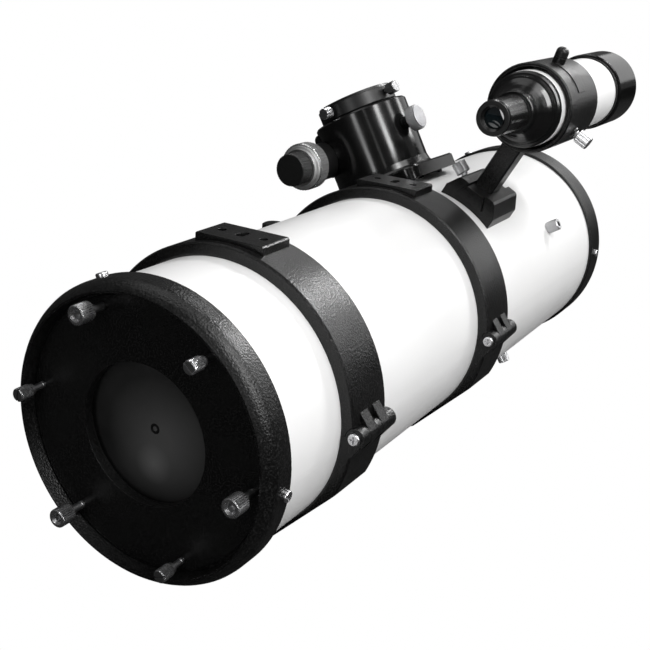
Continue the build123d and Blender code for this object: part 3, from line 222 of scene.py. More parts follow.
class Graph:
    """The node tree of one material or world."""

    def __init__(self, owner: Union[bpy.types.Material, bpy.types.World]) -> None:
        """Empties the owner's node tree.

        Args:
            owner: The material or the world.
        """
        self.owner = owner
        self.owner.use_nodes = True
        self.tree = self.owner.node_tree
        self.tree.nodes.clear()
        self._place: Union[Signal, None] = None

    def add(
        self,
        kind: str,
        settings: Settings,
        values: Sockets,
        output: Union[str, int] = 0,
    ) -> Signal:
        """Adds one node.

        Args:
            kind: The node's type.
            settings: Properties that are set before the sockets.
            values: Values or signals by socket name or index.
            output: The output socket to hand back.

        Returns:
            That output as a signal.
        """
        node = self.tree.nodes.new(kind)
        for key, value in settings.items():
            setattr(node, key, value)
        for key, value in values.items():
            if isinstance(value, Signal):
                self.tree.links.new(value.socket, node.inputs[key])
            else:
                node.inputs[key].default_value = value
        return Signal(self, node.outputs[output])

    def place(self) -> Signal:
        """The point on the surface, in the part's own frame.

        Returns:
            Its place, from one node that all of the tree shares.
        """
        if self._place is None:
            self._place = self.add("ShaderNodeTexCoord", {}, {}, "Object")
        return self._place

    def dot(self, vector: Signal, direction: Sequence[float]) -> Signal:
        """How far a vector reaches along a direction."""
        settings: Settings = {"operation": "DOT_PRODUCT"}
        return self.add("ShaderNodeVectorMath", settings, {0: vector, 1: tuple(direction)}, "Value")

    def about(self, line: Spindle) -> tuple[Signal, Signal, Signal]:
        """Round coordinates of the surface point about a line.

        Args:
            line: The line.

        Returns:
            The angle in radians, the radius in metres and the place along the line in metres.
        """
        settings: Settings = {"operation": "SUBTRACT"}
        offset = self.add("ShaderNodeVectorMath", settings, {0: self.place(), 1: line.origin})
        first, second = line.sides()
        across = self.dot(offset, first)
        beside = self.dot(offset, second)
        radius = (across * across + beside * beside).root()
        return beside.angle(across), radius, self.dot(offset, line.axis)

    def facing(self, direction: Triple) -> Signal:
        """How much the surface faces a direction, -1 to 1."""
        normal = self.add("ShaderNodeNewGeometry", {}, {}, "True Normal")
        return self.dot(normal, direction)

    def noise(
        self,
        scale: float,
        detail: float = 3.0,
        rough: float = 0.5,
        place: Union[Signal, None] = None,
    ) -> Signal:
        """Noise, 0 to 1.

        Args:
            scale: Waves per metre.
            detail: Octaves.
            rough: How strong the finer octaves are.
            place: Another place to read it at, or None for the surface point.

        Returns:
            The noise as a signal.
        """
        values: Sockets = {
            "Vector": self.place() if place is None else place,
            "Scale": scale, "Detail": detail, "Roughness": rough,
        }
        return self.add("ShaderNodeTexNoise", {"normalize": True}, values)

    def lathe(self, height: Signal, radius: Signal, along: float, out: float) -> Signal:
        """The fine rings that a lathe leaves.

        Args:
            height: The place along the axis.
            radius: The distance from the axis.
            along: Rings per metre along the axis.
            out: Rings per metre outwards.

        Returns:
            The rings, 0 to 1.
        """
        return self.noise(1.0, 2.0, 0.6, self.join(height * along, radius * out, 0.0))

    def cells(self, scale: float, smooth: float = 0.6) -> Signal:
        """Distance inside soft Voronoi cells.

        Args:
            scale: Cells per metre.
            smooth: How soft the cells' joins are.

        Returns:
            The distance as a signal.
        """
        values: Sockets = {"Vector": self.place(), "Scale": scale, "Smoothness": smooth}
        return self.add("ShaderNodeTexVoronoi", {"feature": "SMOOTH_F1"}, values, "Distance")

    def mix(self, share: Value, first: Value, second: Value) -> Signal:
        """A blend of two colours.

        Args:
            share: How much of the second, 0 to 1.
            first: The first colour.
            second: The second colour.

        Returns:
            The colour.
        """
        settings: Settings = {"data_type": "RGBA", "clamp_factor": True}
        return self.add("ShaderNodeMix", settings, {0: share, 6: first, 7: second}, 2)

    def join(self, x: Value, y: Value, z: Value) -> Signal:
        """A vector of three values."""
        return self.add("ShaderNodeCombineXYZ", {}, {0: x, 1: y, 2: z})

    def bump(self, height: Signal, depth: float, edge: float = 0.0) -> Signal:
        """A normal bent by a height.

        Args:
            height: The height, 0 to 1.
            depth: The depth in metres of a height of 1.
            edge: The radius in metres that edges look rounded to, or 0.

        Returns:
            The normal.
        """
        values: Sockets = {"Height": height, "Distance": depth, "Strength": 1.0}
        if edge > 0:
            values["Normal"] = self.add("ShaderNodeBevel", {"samples": 4}, {"Radius": edge})
        return self.add("ShaderNodeBump", {}, values)

    def surface(self, **values: Value) -> bpy.types.Material:
        """Closes the material with one shader.

        Args:
            **values: The shader's sockets, with their words joined by underscores.

        Returns:
            The finished material.
        """
        named: Sockets = {
            key.replace("_", " ").replace("Ior", "IOR"): value for key, value in values.items()
        }
        self.close(self.add("ShaderNodeBsdfPrincipled", {}, named))
        return self.owner

    def close(self, shader: Signal, kind: str = "ShaderNodeOutputMaterial") -> None:
        """Joins the last shader to the tree's output."""
        output = self.tree.nodes.new(kind)
        self.tree.links.new(shader.socket, output.inputs["Surface"])


def grey(level: float, warm: float = 0.0) -> Colour:
    """A grey, a little warm or cool.

    Args:
        level: Its linear level.
        warm: Added to red and taken from blue.

    Returns:
        The colour with full alpha.
    """
    return (level + warm, level, max(level - warm, 0.0), 1.0)


# ---------------------------------------------------------------- finishes
@dataclass(frozen=True)
class Finish:
    """A surface finish, built once and shared by the pieces that have it.

    Attributes:
        name: The material's name.
    """

    name: str

    def build(self, graph: Graph) -> bpy.types.Material:
        """Fills the material's node tree.

        Args:
            graph: An empty graph for it.

        Returns:
            The finished material.
        """
        raise NotImplementedError

    def material(self) -> bpy.types.Material:
        """This finish's material.

        Returns:
            The material, built on the first call.
        """
        if self not in _MADE:
            _MADE[self] = self.build(Graph(bpy.data.materials.new(self.name)))
        return _MADE[self]


_MADE: dict[Finish, bpy.types.Material] = {}


@dataclass(frozen=True)
class HammeredPaint(Finish):
    """Black powder coat with a hammered pebble, as on the castings.

    Attributes:
        pebble: Pebbles per metre.
        depth: Depth of the pebble in metres.
        level: The paint's grey.
        flat: The direction of the faces that are smoother than the rest.
        sparkle_specks: Lighter specks per metre, a painted sparkle that stands in for glints off
            the pebble.
        sparkle_gain: How many times as light as the paint the painted sparkle is.
        gloss: The lowest and the highest roughness.
        edge: The radius that edges look rounded to.
    """

    pebble: float = 780.0
    depth: float = 0.00026
    level: float = 0.0030
    flat: Triple = BACKWARDS
    sparkle_specks: float = 1000.0
    sparkle_gain: float = 9.0
    gloss: tuple[float, float] = (0.26, 0.34)
    edge: float = 0.0006

    def build(self, graph: Graph) -> bpy.types.Material:
        """Cells for the pebble, finer grain on top, painted sparkle specks and a slow change of
        gloss.

        Args:
            graph: An empty graph for it.

        Returns:
            The finished material.
        """
        cells = graph.cells(self.pebble)
        grain = graph.noise(2600.0, 2.0)
        drift = graph.noise(28.0, 3.0)
        plain = graph.facing(self.flat).span(0.95, 0.99)
        height = (cells * 0.75 + grain * 0.25) * (1 - plain * 0.7)
        # Painted sparkle: random lighter specks in the colour stand in for glints off the pebble.
        sparkle_specks = graph.noise(self.sparkle_specks, 3.0, 0.75).span(0.50, 0.70)
        colour = graph.mix(sparkle_specks, grey(self.level * 0.4), grey(self.level * self.sparkle_gain))
        roughness = drift.span(0.35, 0.65, *self.gloss) + grain.spread(0.0, 0.06) - plain * 0.06
        return graph.surface(
            Base_Color=colour,
            Roughness=roughness,
            Normal=graph.bump(height, self.depth, self.edge),
            Specular_Ior_Level=0.38,
        )


@dataclass(frozen=True)
class GlossEnamel(Finish):
    """Gloss white enamel outside and flat black inside a tube.

    Attributes:
        line: The tube's axis.
        inside: The radius under which the wall is the inner face, in metres.
        level: The white's grey level.
        gloss: The lowest and the highest roughness outside.
        coat: How strong the clear coat is.
        peel: The depth of the orange peel in metres.
    """

    line: Spindle = TUBE_LINE
    inside: float = 0.0924
    level: float = 0.75
    gloss: tuple[float, float] = (0.30, 0.38)
    coat: float = 0.03
    peel: float = 0.000004

    def build(self, graph: Graph) -> bpy.types.Material:
        """A faint orange peel and dust outside, soot black inside.

        Args:
            graph: An empty graph for it.

        Returns:
            The finished material.
        """
        _, radius, _ = graph.about(self.line)
        inner = radius < self.inside
        peel = graph.noise(420.0, 2.0)
        drift = graph.noise(9.0, 4.0)
        white = graph.mix(drift.spread(), grey(self.level * 0.97, 0.003), grey(self.level, 0.001))
        soot = graph.mix(peel, grey(0.006), grey(0.013))
        roughness = graph.noise(60.0, 3.0).spread(*self.gloss) * (1 - inner) + inner * 0.85
        return graph.surface(
            Base_Color=graph.mix(inner, white, soot),
            Roughness=roughness,
            Coat_Weight=(1 - inner) * self.coat,
            Coat_Roughness=0.15,
            Normal=graph.bump(peel, self.peel),
        )


@dataclass(frozen=True)
class TurnedBlack(Finish):
    """Black anodised aluminium with the fine rings of a lathe.

    Attributes:
        line: The axis it was turned about.
        gloss: The lowest roughness.
        level: The black's grey.
        inside: The radius under which the wall is flat black, in metres.
        fine: Rings per metre.
    """

    line: Spindle = TUBE_LINE
    gloss: float = 0.16
    level: float = 0.0035
    inside: float = 0.0
    fine: float = 5200.0

    def build(self, graph: Graph) -> bpy.types.Material:
        """Rings square to the axis and a soft change of gloss.

        Args:
            graph: An empty graph for it.

        Returns:
            The finished material.
        """
        _, radius, height = graph.about(self.line)
        rings = graph.lathe(height, radius, self.fine, self.fine)
        drift = graph.noise(35.0, 3.0)
        inner = radius < self.inside
        bright = graph.mix(rings.spread(), grey(self.level * 0.8), grey(self.level * 1.5))
        outer = drift.spread(self.gloss, self.gloss + 0.07) + rings.span(0.2, 0.8, 0.0, 0.05)
        return graph.surface(
            Base_Color=graph.mix(inner, bright, grey(0.007)),
            Roughness=outer * (1 - inner) + inner * 0.8,
            Normal=graph.bump(rings, 0.000012, 0.0004),
            Specular_Ior_Level=0.5,
        )


class Metal(Enum):
    """The metals that small parts are made of: linear colour and lowest roughness."""

    CHROME = ((0.74, 0.74, 0.75, 1.0), 0.20)
    SATIN = ((0.74, 0.74, 0.74, 1.0), 0.38)
    STEEL = ((0.55, 0.55, 0.56, 1.0), 0.30)
    BRASS = ((0.60, 0.43, 0.20, 1.0), 0.24)
    DULL = ((0.33, 0.33, 0.34, 1.0), 0.42)
    BLACK = ((0.006, 0.006, 0.006, 1.0), 0.34)

    @property
    def colour(self) -> Colour:
        """The metal's colour."""
        return self.value[0]

    def dulled(self, share: float) -> Colour:
        """The metal's colour brought down to a share of itself."""
        return (*(value * share for value in self.colour[:3]), 1.0)

    @property
    def roughness(self) -> float:
        """The metal's lowest roughness."""
        return self.value[1]

    @property
    def metallic(self) -> float:
        """One for bare metal and none for a dyed black."""
        return 0.0 if self is Metal.BLACK else 1.0


@dataclass(frozen=True)
class TurnedMetal(Finish):
    """Bare turned metal, with painted shade in its grooves and thread roots.

    Attributes:
        line: The axis it was turned about.
        metal: What it is made of.
        rim: The grip's outer radius in metres. Grooves under it get painted shade.
        groove: The grooves' depth in metres.
        thread: The radius under which the shank shows a thread, in metres, or 0.
        pitch: The thread's pitch in metres.
        ends: How dark the end faces are, 0 to 1.
        fine: Rings per metre.
        grime_and_shade_share: The share of the metal's colour that shows through grime spots and
            painted shade.
    """

    line: Spindle = TUBE_LINE
    metal: Metal = Metal.CHROME
    rim: float = 0.0
    groove: float = 0.0005
    thread: float = 0.0
    pitch: float = 0.0008
    ends: float = 0.0
    fine: float = 4200.0
    grime_and_shade_share: float = 0.22

    def build(self, graph: Graph) -> bpy.types.Material:
        """Turning rings, grime spots, painted shade in the grooves and thread roots, darker end
        faces and a thread on the shank.

        Args:
            graph: An empty graph for it.

        Returns:
            The finished material.
        """
        angle, radius, height = graph.about(self.line)
        rings = graph.lathe(height, radius, self.fine, self.fine)
        spots = graph.noise(900.0, 3.0)
        relief = rings * 0.1
        # Random grime spots. The painted shade below joins this same mask.
        grime_and_shade = spots.span(0.55, 0.8, 0.0, 0.25)
        # Painted shade: the grooves under the rim are darkened in the colour.
        if self.rim > 0:
            deep = radius.span(self.rim - self.groove, self.rim - 0.2 * self.groove, 1.0, 0.0)
            side = graph.facing(self.line.axis).size() < 0.5
            grime_and_shade = grime_and_shade.highest(deep * side * 0.7)
        if self.thread > 0:
            shank = radius < self.thread
            spiral = (height + angle * (self.pitch / math.tau)).wave(self.pitch)
            relief = relief + shank * spiral
            # Painted shade: the thread's roots are darkened in the colour.
            grime_and_shade = grime_and_shade.highest(shank * (1 - spiral) * 0.6)
        # The end faces are darkened as well.
        if self.ends > 0:
            grime_and_shade = grime_and_shade.highest((graph.facing(self.line.axis).size() > 0.9) * self.ends)
        low = self.metal.roughness
        return graph.surface(
            Base_Color=graph.mix(grime_and_shade, self.metal.colour, self.metal.dulled(self.grime_and_shade_share)),
            Metallic=self.metal.metallic,
            Roughness=spots.spread(low, low + 0.1) + grime_and_shade * 0.2,
            Normal=graph.bump(relief, 0.0002, 0.00025),
        )


@dataclass(frozen=True)
class Knurled(Finish):
    """A diamond knurl round a grip, with turned faces at its ends.

    Attributes:
        line: The grip's axis, its origin at the middle of the knob.
        metal: What it is made of.
        rim: The grip's radius in metres.
        half: Half the knurl's width along the axis, in metres.
        teeth: Diamonds round the grip.
        face: The metal of the turned faces.
        deep: How far under the rim the knurl reaches, in metres.
    """

    line: Spindle
    metal: Metal
    rim: float
    half: float
    teeth: int
    face: Metal
    deep: float = 0.0012

    def build(self, graph: Graph) -> bpy.types.Material:
        """Two crossed waves round the rim with painted shade in their valleys, and lathe rings on
        the faces.

        Args:
            graph: An empty graph for it.

        Returns:
            The finished material.
        """
        angle, radius, height = graph.about(self.line)
        slope = self.teeth / self.rim
        first = (angle * self.teeth + height * slope).sine()
        second = (angle * self.teeth - height * slope).sine()
        rim = (radius > self.rim - self.deep) * (height.size() < self.half)
        diamonds = (first * second).size()
        rings = graph.lathe(height, radius, 900.0, 5200.0)
        relief = rim * diamonds + (1 - rim) * rings * 0.16
        low = self.metal.roughness
        # Painted shade: the knurl's valleys are darkened in the colour.
        grip = graph.mix((1 - diamonds) * 0.8, self.metal.colour, self.metal.dulled(0.45))
        return graph.surface(
            Base_Color=graph.mix(rim, self.face.colour, grip),
            Metallic=self.metal.metallic,
            Roughness=rings.spread(low * 0.8, low * 1.2) + rim * 0.1,
            Normal=graph.bump(relief, 0.00025, 0.0003),
        )


@dataclass(frozen=True)
class Moulded(Finish):
    """Moulded black plastic or rubber with a fine grain.

    Attributes:
        level: The grey.
        roughness: The lowest roughness.
        grain: Grains per metre.
    """

    level: float = 0.008
    roughness: float = 0.42
    grain: float = 2200.0

    def build(self, graph: Graph) -> bpy.types.Material:
        """A fine grain and a slow drift of gloss.

        Args:
            graph: An empty graph for it.

        Returns:
            The finished material.
        """
        grain = graph.noise(self.grain, 2.0)
        drift = graph.noise(45.0, 3.0)
        return graph.surface(
            Base_Color=graph.mix(drift, grey(self.level * 0.8), grey(self.level * 1.3)),
            Roughness=drift.spread(self.roughness, self.roughness + 0.1),
            Normal=graph.bump(grain, 0.00003, 0.0005),
            Specular_Ior_Level=0.35,
        )


@dataclass(frozen=True)
class FeltCloth(Finish):
    """Short black felt."""

    def build(self, graph: Graph) -> bpy.types.Material:
        """Two sizes of fibre tangle.

        Args:
            graph: An empty graph for it.

        Returns:
            The finished material.
        """
        fibre = graph.noise(5200.0, 5.0, 0.7)
        clump = graph.noise(700.0, 3.0)
        height = fibre * 0.6 + clump * 0.4
        return graph.surface(
            Base_Color=graph.mix(height, grey(0.004), grey(0.02)),
            Roughness=0.95,
            Normal=graph.bump(height, 0.0003),
            Sheen_Weight=0.2,
        )


@dataclass(frozen=True)
class MirrorGlass(Finish):
    """Mirror glass: aluminised on one face and ground everywhere else.

    Attributes:
        face: The direction that the aluminised face looks.
        level: The ground glass's grey.
        painted_reflection: The middle of a lighter patch on the back, a painted reflection, or
            None.
        halo: Where its wide haze lies: how far across from its middle, and the share of its height.
        light: How many times as light as the glass the patch is.
    """

    face: Triple = ALONG
    level: float = 0.013
    painted_reflection: Union[Triple, None] = None
    halo: tuple[float, float] = (-0.006, 0.3)
    light: float = 9.0

    def build(self, graph: Graph) -> bpy.types.Material:
        """The coating where the face looks the right way, ground grey elsewhere and a painted
        reflection patch on the back.

        Args:
            graph: An empty graph for it.

        Returns:
            The finished material.
        """
        coated = graph.facing(self.face) > 0.9
        frost = graph.noise(1500.0, 3.0)
        smear = graph.noise(18.0, 4.0, 0.6)
        ground = graph.mix(smear.spread(), grey(self.level * 0.7), grey(self.level * 1.4))
        # Painted reflection: a lighter patch in the ground glass's colour stands in for a soft
        # reflection on the mirror's back.
        if self.painted_reflection is not None:
            x, y, z = self.painted_reflection
            _, near, _ = graph.about(Spindle(self.painted_reflection))
            _, wide, _ = graph.about(Spindle((x, y + self.halo[0], z * self.halo[1])))
            share = wide.span(0.008, 0.042, 0.55, 0.0) + near.span(0.0, 0.014, 0.6, 0.0)
            ground = graph.mix(share, ground, grey(self.level * self.light))
        return graph.surface(
            Base_Color=graph.mix(coated, ground, grey(0.88)),
            Metallic=coated,
            Roughness=coated * 0.03 + (1 - coated) * smear.spread(0.38, 0.5),
            Normal=graph.bump(frost * (1 - coated), 0.00001),
        )


@dataclass(frozen=True)
class CoatedLens(Finish):
    """Dark lens glass with a clear coat."""

    def build(self, graph: Graph) -> bpy.types.Material:
        """Deep glass with faint dust.

        Args:
            graph: An empty graph for it.

        Returns:
            The finished material.
        """
        dust = graph.noise(2600.0, 2.0)
        dusty = dust.span(0.7, 0.9, 0.0, 0.15)
        return graph.surface(
            Base_Color=graph.mix(dusty, (0.006, 0.010, 0.012, 1.0), grey(0.2)),
            Roughness=dust.span(0.6, 0.9, 0.02, 0.2),
            Coat_Weight=1.0,
            Coat_Roughness=0.02,
        )


HAMMERED = HammeredPaint("hammered black paint")
CLAMP_PLASTIC = Moulded("moulded black plastic", 0.005)
CAP_BLACK = TurnedMetal("blackened cap screws", metal=Metal.BLACK)
RUBBER = Moulded("black rubber", 0.004, 0.6, 1500.0)
FELT = FeltCloth("black felt")


def dress(finish: Finish, *nodes: str) -> None:
    """Gives CAD nodes a finish.

    Args:
        finish: The finish.
        *nodes: The nodes' names.
    """
    for node in nodes:
        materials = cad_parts[node].data.materials
        materials.clear()
        materials.append(finish.material())
        LOG.info("%s dressed in %s", node, finish.name)


# ---------------------------------------------------------------- modelling
def lone(piece: bpy.types.Object) -> None:
    """Makes one piece the only selected and the active one.

    Args:
        piece: The piece.
    """
    bpy.ops.object.select_all(action="DESELECT")
    piece.select_set(True)
    bpy.context.view_layer.objects.active = piece


def start_piece(name: str) -> bpy.types.Object:
    """Names the primitive that was just added and selects it alone.

    Args:
        name: The piece's name.

    Returns:
        The piece.
    """
    piece = bpy.context.active_object
    piece.name = name
    piece.data.name = name
    lone(piece)
    return piece


def pick(mode: str, wanted: Callable[[object], bool]) -> int:
    """Selects parts of the piece in edit mode by a test.

    Args:
        mode: VERT, EDGE or FACE.
        wanted: The test, given a bmesh vertex, edge or face.

    Returns:
        How many were selected.
    """
    bpy.ops.mesh.select_mode(type=mode)
    bpy.ops.mesh.select_all(action="DESELECT")
    shape = bmesh.from_edit_mesh(bpy.context.active_object.data)
    groups = {"VERT": shape.verts, "EDGE": shape.edges, "FACE": shape.faces}
    found = [element for element in groups[mode] if wanted(element)]
    for element in found:
        element.select = True
    shape.select_flush_mode()
    bmesh.update_edit_mesh(bpy.context.active_object.data)
    return len(found)


def settle(
    piece: bpy.types.Object, turn: Matrix, body: str, finish: Finish, smooth: float
) -> None:
    """Moves a finished shape to its place in the mesh, dresses it and hangs it on its body.

    Args:
        piece: The shape, modelled about the world's origin.
        turn: Where it goes.
        body: The body it rides on.
        finish: Its finish.
        smooth: Edges under this angle, in degrees, are shaded smooth.
    """
    lone(piece)
    bpy.ops.object.mode_set(mode="EDIT")
    bpy.ops.mesh.select_all(action="SELECT")
    bpy.ops.mesh.remove_doubles(threshold=1e-6)
    bpy.ops.mesh.normals_make_consistent(inside=False)
    bpy.ops.object.mode_set(mode="OBJECT")
    piece.matrix_world = turn @ piece.matrix_world
    bpy.ops.object.transform_apply(location=True, rotation=True, scale=True)
    bpy.ops.object.shade_smooth_by_angle(angle=math.radians(smooth))
    piece.data.materials.clear()
    piece.data.materials.append(finish.material())
    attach(piece, body)
    LOG.info("%s: %d faces on %s", piece.name, len(piece.data.polygons), body)


def raise_selected(rise: float) -> None:
    """Extrudes the selected faces along +Z, or into the piece where rise is negative."""
    bpy.ops.mesh.extrude_region_move(TRANSFORM_OT_translate={"value": (0.0, 0.0, rise)})


def finish_modifier(piece: bpy.types.Object, kind: str, **settings: object) -> None:
    """Adds a modifier and applies it.

    Args:
        piece: The piece.
        kind: The modifier's type.
        **settings: Its settings.
    """
    lone(piece)
    modifier = piece.modifiers.new(kind.lower(), kind)
    for key, value in settings.items():
        setattr(modifier, key, value)
    bpy.ops.object.modifier_apply(modifier=modifier.name)


@dataclass(frozen=True)
class Trim:
    """A small piece, modelled along +Z from the origin and then hung on a body.

    Attributes:
        smooth: Edges under this angle, in degrees, are shaded smooth.
    """

    smooth: ClassVar[float] = 35.0

    def model(self, name: str) -> bpy.types.Object:
        """Models the piece under that name and returns it.

        Args:
            name: The piece's name.

        Returns:
            The piece, not yet in its place.
        """
        raise NotImplementedError

    def build(self, name: str, line: Spindle, body: str, finish: Finish) -> None:
        """Models the piece, moves it onto its line and hangs it on its body.

        Args:
            name: The piece's name.
            line: Its line, with the origin at its seat.
            body: The body it rides on.
            finish: Its finish.
        """
        settle(self.model(name), line.turn(), body, finish, self.smooth)


@dataclass(frozen=True)
class Thread(Trim):
    """A run of screw thread on a shank.

    Attributes:
        radius: The shank's radius in metres.
        start: Where it starts along its line, in metres.
        end: Where it ends.
        pitch: The distance between ridges.
        sides: Corners round the shank.
        clear: How far the thread's root stands off the shank.
    """

    smooth: ClassVar[float] = 20.0
    radius: float
    start: float
    end: float
    pitch: float = 0.0008
    sides: int = 20
    clear: float = 0.03 * MM

    def model(self, name: str) -> bpy.types.Object:
        """Models one ridge and repeats it along the shank.

        Args:
            name: The piece's name.

        Returns:
            The piece, not yet in its place.
        """
        count = max(int((self.end - self.start) / self.pitch), 1)
        root = self.radius + self.clear
        bpy.ops.mesh.primitive_cylinder_add(
            vertices=self.sides, radius=root, depth=self.pitch, end_fill_type="NOTHING",
            location=(0.0, 0.0, self.start + self.pitch / 2),
        )
        piece = start_piece(name)
        bpy.ops.object.mode_set(mode="EDIT")
        half = 0.3 * self.pitch
        pick("EDGE", lambda edge: abs(edge.verts[0].co.z - edge.verts[1].co.z) > half)
        bpy.ops.mesh.subdivide(number_cuts=1)
        pick("VERT", lambda vert: abs(vert.co.z) < 0.1 * self.pitch)
        crest = (self.radius + 0.3 * self.pitch) / root
        bpy.ops.transform.resize(value=(crest, crest, 1.0))
        bpy.ops.object.mode_set(mode="OBJECT")
        finish_modifier(
            piece, "ARRAY", count=count, use_relative_offset=False, use_constant_offset=True,
            constant_offset_displace=(0.0, 0.0, self.pitch), use_merge_vertices=True,
        )
        return piece


@dataclass(frozen=True)
class FlatRing(Trim):
    """A thin flat ring with bevelled rims.

    Attributes:
        outer: The outer radius in metres.
        inner: The inner radius.
        thick: The thickness.
        notches: How many notches are cut in its front face.
        corners: Corners round the ring.
    """

    outer: float
    inner: float
    thick: float
    notches: int = 0
    corners: int = 72

    def model(self, name: str) -> bpy.types.Object:
        """Insets a disc, drops its middle and gives the rest its thickness.

        Args:
            name: The piece's name.

        Returns:
            The piece, not yet in its place.
        """
        bpy.ops.mesh.primitive_circle_add(
            vertices=self.corners, radius=self.outer, fill_type="NGON"
        )
        piece = start_piece(name)
        bpy.ops.object.mode_set(mode="EDIT")
        bpy.ops.mesh.select_all(action="SELECT")
        bpy.ops.mesh.inset(thickness=self.outer - self.inner, depth=0.0)
        bpy.ops.mesh.delete(type="FACE")
        bpy.ops.mesh.select_all(action="SELECT")
        raise_selected(self.thick)
        bpy.ops.mesh.select_all(action="SELECT")
        bpy.ops.mesh.normals_make_consistent(inside=False)
        if self.notches:
            self._notch()
        bpy.ops.object.mode_set(mode="OBJECT")
        finish_modifier(piece, "BEVEL", width=0.2 * self.thick, segments=2, limit_method="ANGLE")
        return piece

    def _notch(self) -> None:
        """Sinks evenly spaced faces of the front for a spanner."""
        step = self.corners // self.notches
        wanted = {index * step for index in range(self.notches)}

        def chosen(face: object) -> bool:
            """Whether a front face stands at a notch.

            Args:
                face: A bmesh face of the ring.

            Returns:
                True for a face to sink.
            """
            middle = face.calc_center_median()
            if face.normal.z < 0.9 or middle.z < 0.5 * self.thick:
                return False
            share = (math.atan2(middle.y, middle.x) % math.tau) / math.tau
            index = int(share * self.corners)
            return index in wanted or (index - 1) % self.corners in wanted

        if pick("FACE", chosen):
            raise_selected(-0.6 * self.thick)


@dataclass(frozen=True)
class SocketScrew(Trim):
    """A cap screw's head with a hexagon socket.

    Attributes:
        radius: The head's radius in metres.
        height: How far it stands out.
        socket: The socket's radius to its corners.
    """

    radius: float
    height: float
    socket: float

    def model(self, name: str) -> bpy.types.Object:
        """Insets the head's front down to a hexagon and sinks it.

        Args:
            name: The piece's name.

        Returns:
            The piece, not yet in its place.
        """
        bpy.ops.mesh.primitive_cylinder_add(
            vertices=24, radius=self.radius, depth=self.height, location=(0.0, 0.0, self.height / 2)
        )
        piece = start_piece(name)
        bpy.ops.object.transform_apply(location=True)
        bpy.ops.object.mode_set(mode="EDIT")
        pick("FACE", lambda face: face.normal.z > 0.9)
        bpy.ops.mesh.inset(thickness=0.12 * self.radius, depth=0.0)
        bpy.ops.mesh.inset(thickness=0.88 * self.radius - self.socket, depth=0.0)
        self._six_sided()
        raise_selected(-0.7 * self.height)
        bpy.ops.mesh.inset(thickness=0.1 * self.socket, depth=0.0)
        bpy.ops.object.mode_set(mode="OBJECT")
        width = 0.06 * self.radius
        finish_modifier(piece, "BEVEL", width=width, segments=2, limit_method="ANGLE")
        return piece

    def _six_sided(self) -> None:
        """Pulls the socket's mouth from a circle to a hexagon."""
        shape = bmesh.from_edit_mesh(bpy.context.active_object.data)
        for vert in (v for v in shape.verts if v.select):
            turn = math.atan2(vert.co.y, vert.co.x) % (math.pi / 3) - math.pi / 6
            reach = self.socket * math.cos(math.pi / 6) / math.cos(turn)
            flat = Vector((vert.co.x, vert.co.y)).normalized() * reach
            vert.co.x, vert.co.y = flat
        bmesh.update_edit_mesh(bpy.context.active_object.data)


# ---------------------------------------------------------------- sub-assemblies
@dataclass
class TubeAssembly:
    """The main tube with its two end castings, spider and secondary mirror.

    Attributes:
        stalk: The radius under which the secondary's bolt shows its thread, in metres.
    """

    stalk: float = 3.2 * MM

    def dress(self) -> None:
        """Gives the tube's own nodes their finishes."""
        dress(GlossEnamel("tube enamel"), "tube")
        dress(HAMMERED, "rear_cell", "front_ring")
        plating = TurnedMetal("plated screws", metal=Metal.CHROME)
        dress(plating, "rear_cell_screws", "front_ring_screws")
        dress(TurnedMetal("plated nuts", metal=Metal.STEEL), "vane_nuts")
        dress(Moulded("spider paint", 0.010, 0.5), "spider")
        dress(Moulded("holder paint", 0.010, 0.45), "secondary_holder")
        halfway = Vector((-1.0, *FOCUSER_OUT[1:])).normalized()
        dress(MirrorGlass("secondary glass", tuple(halfway)), "secondary_mirror")
        dress(TurnedMetal("stalk steel", metal=Metal.STEEL, thread=self.stalk), "secondary_bolt")
        dress(TurnedMetal("screw steel", metal=Metal.STEEL), "secondary_screws")


@dataclass(frozen=True)
class BackScrew:
    """One kind of screw that stands behind the mirror.

    Attributes:
        node: The start of its nodes' names.
        body: The start of its bodies' names.
        head: Its head's radius in metres.
        shank: Its shank's radius.
        end: Where the thread that shows ends, measured from the plate.
        dark: How dark the head's end faces are, 0 to 1.
    """

    node: str
    body: str
    head: float
    shank: float
    end: float
    dark: float = 0.0


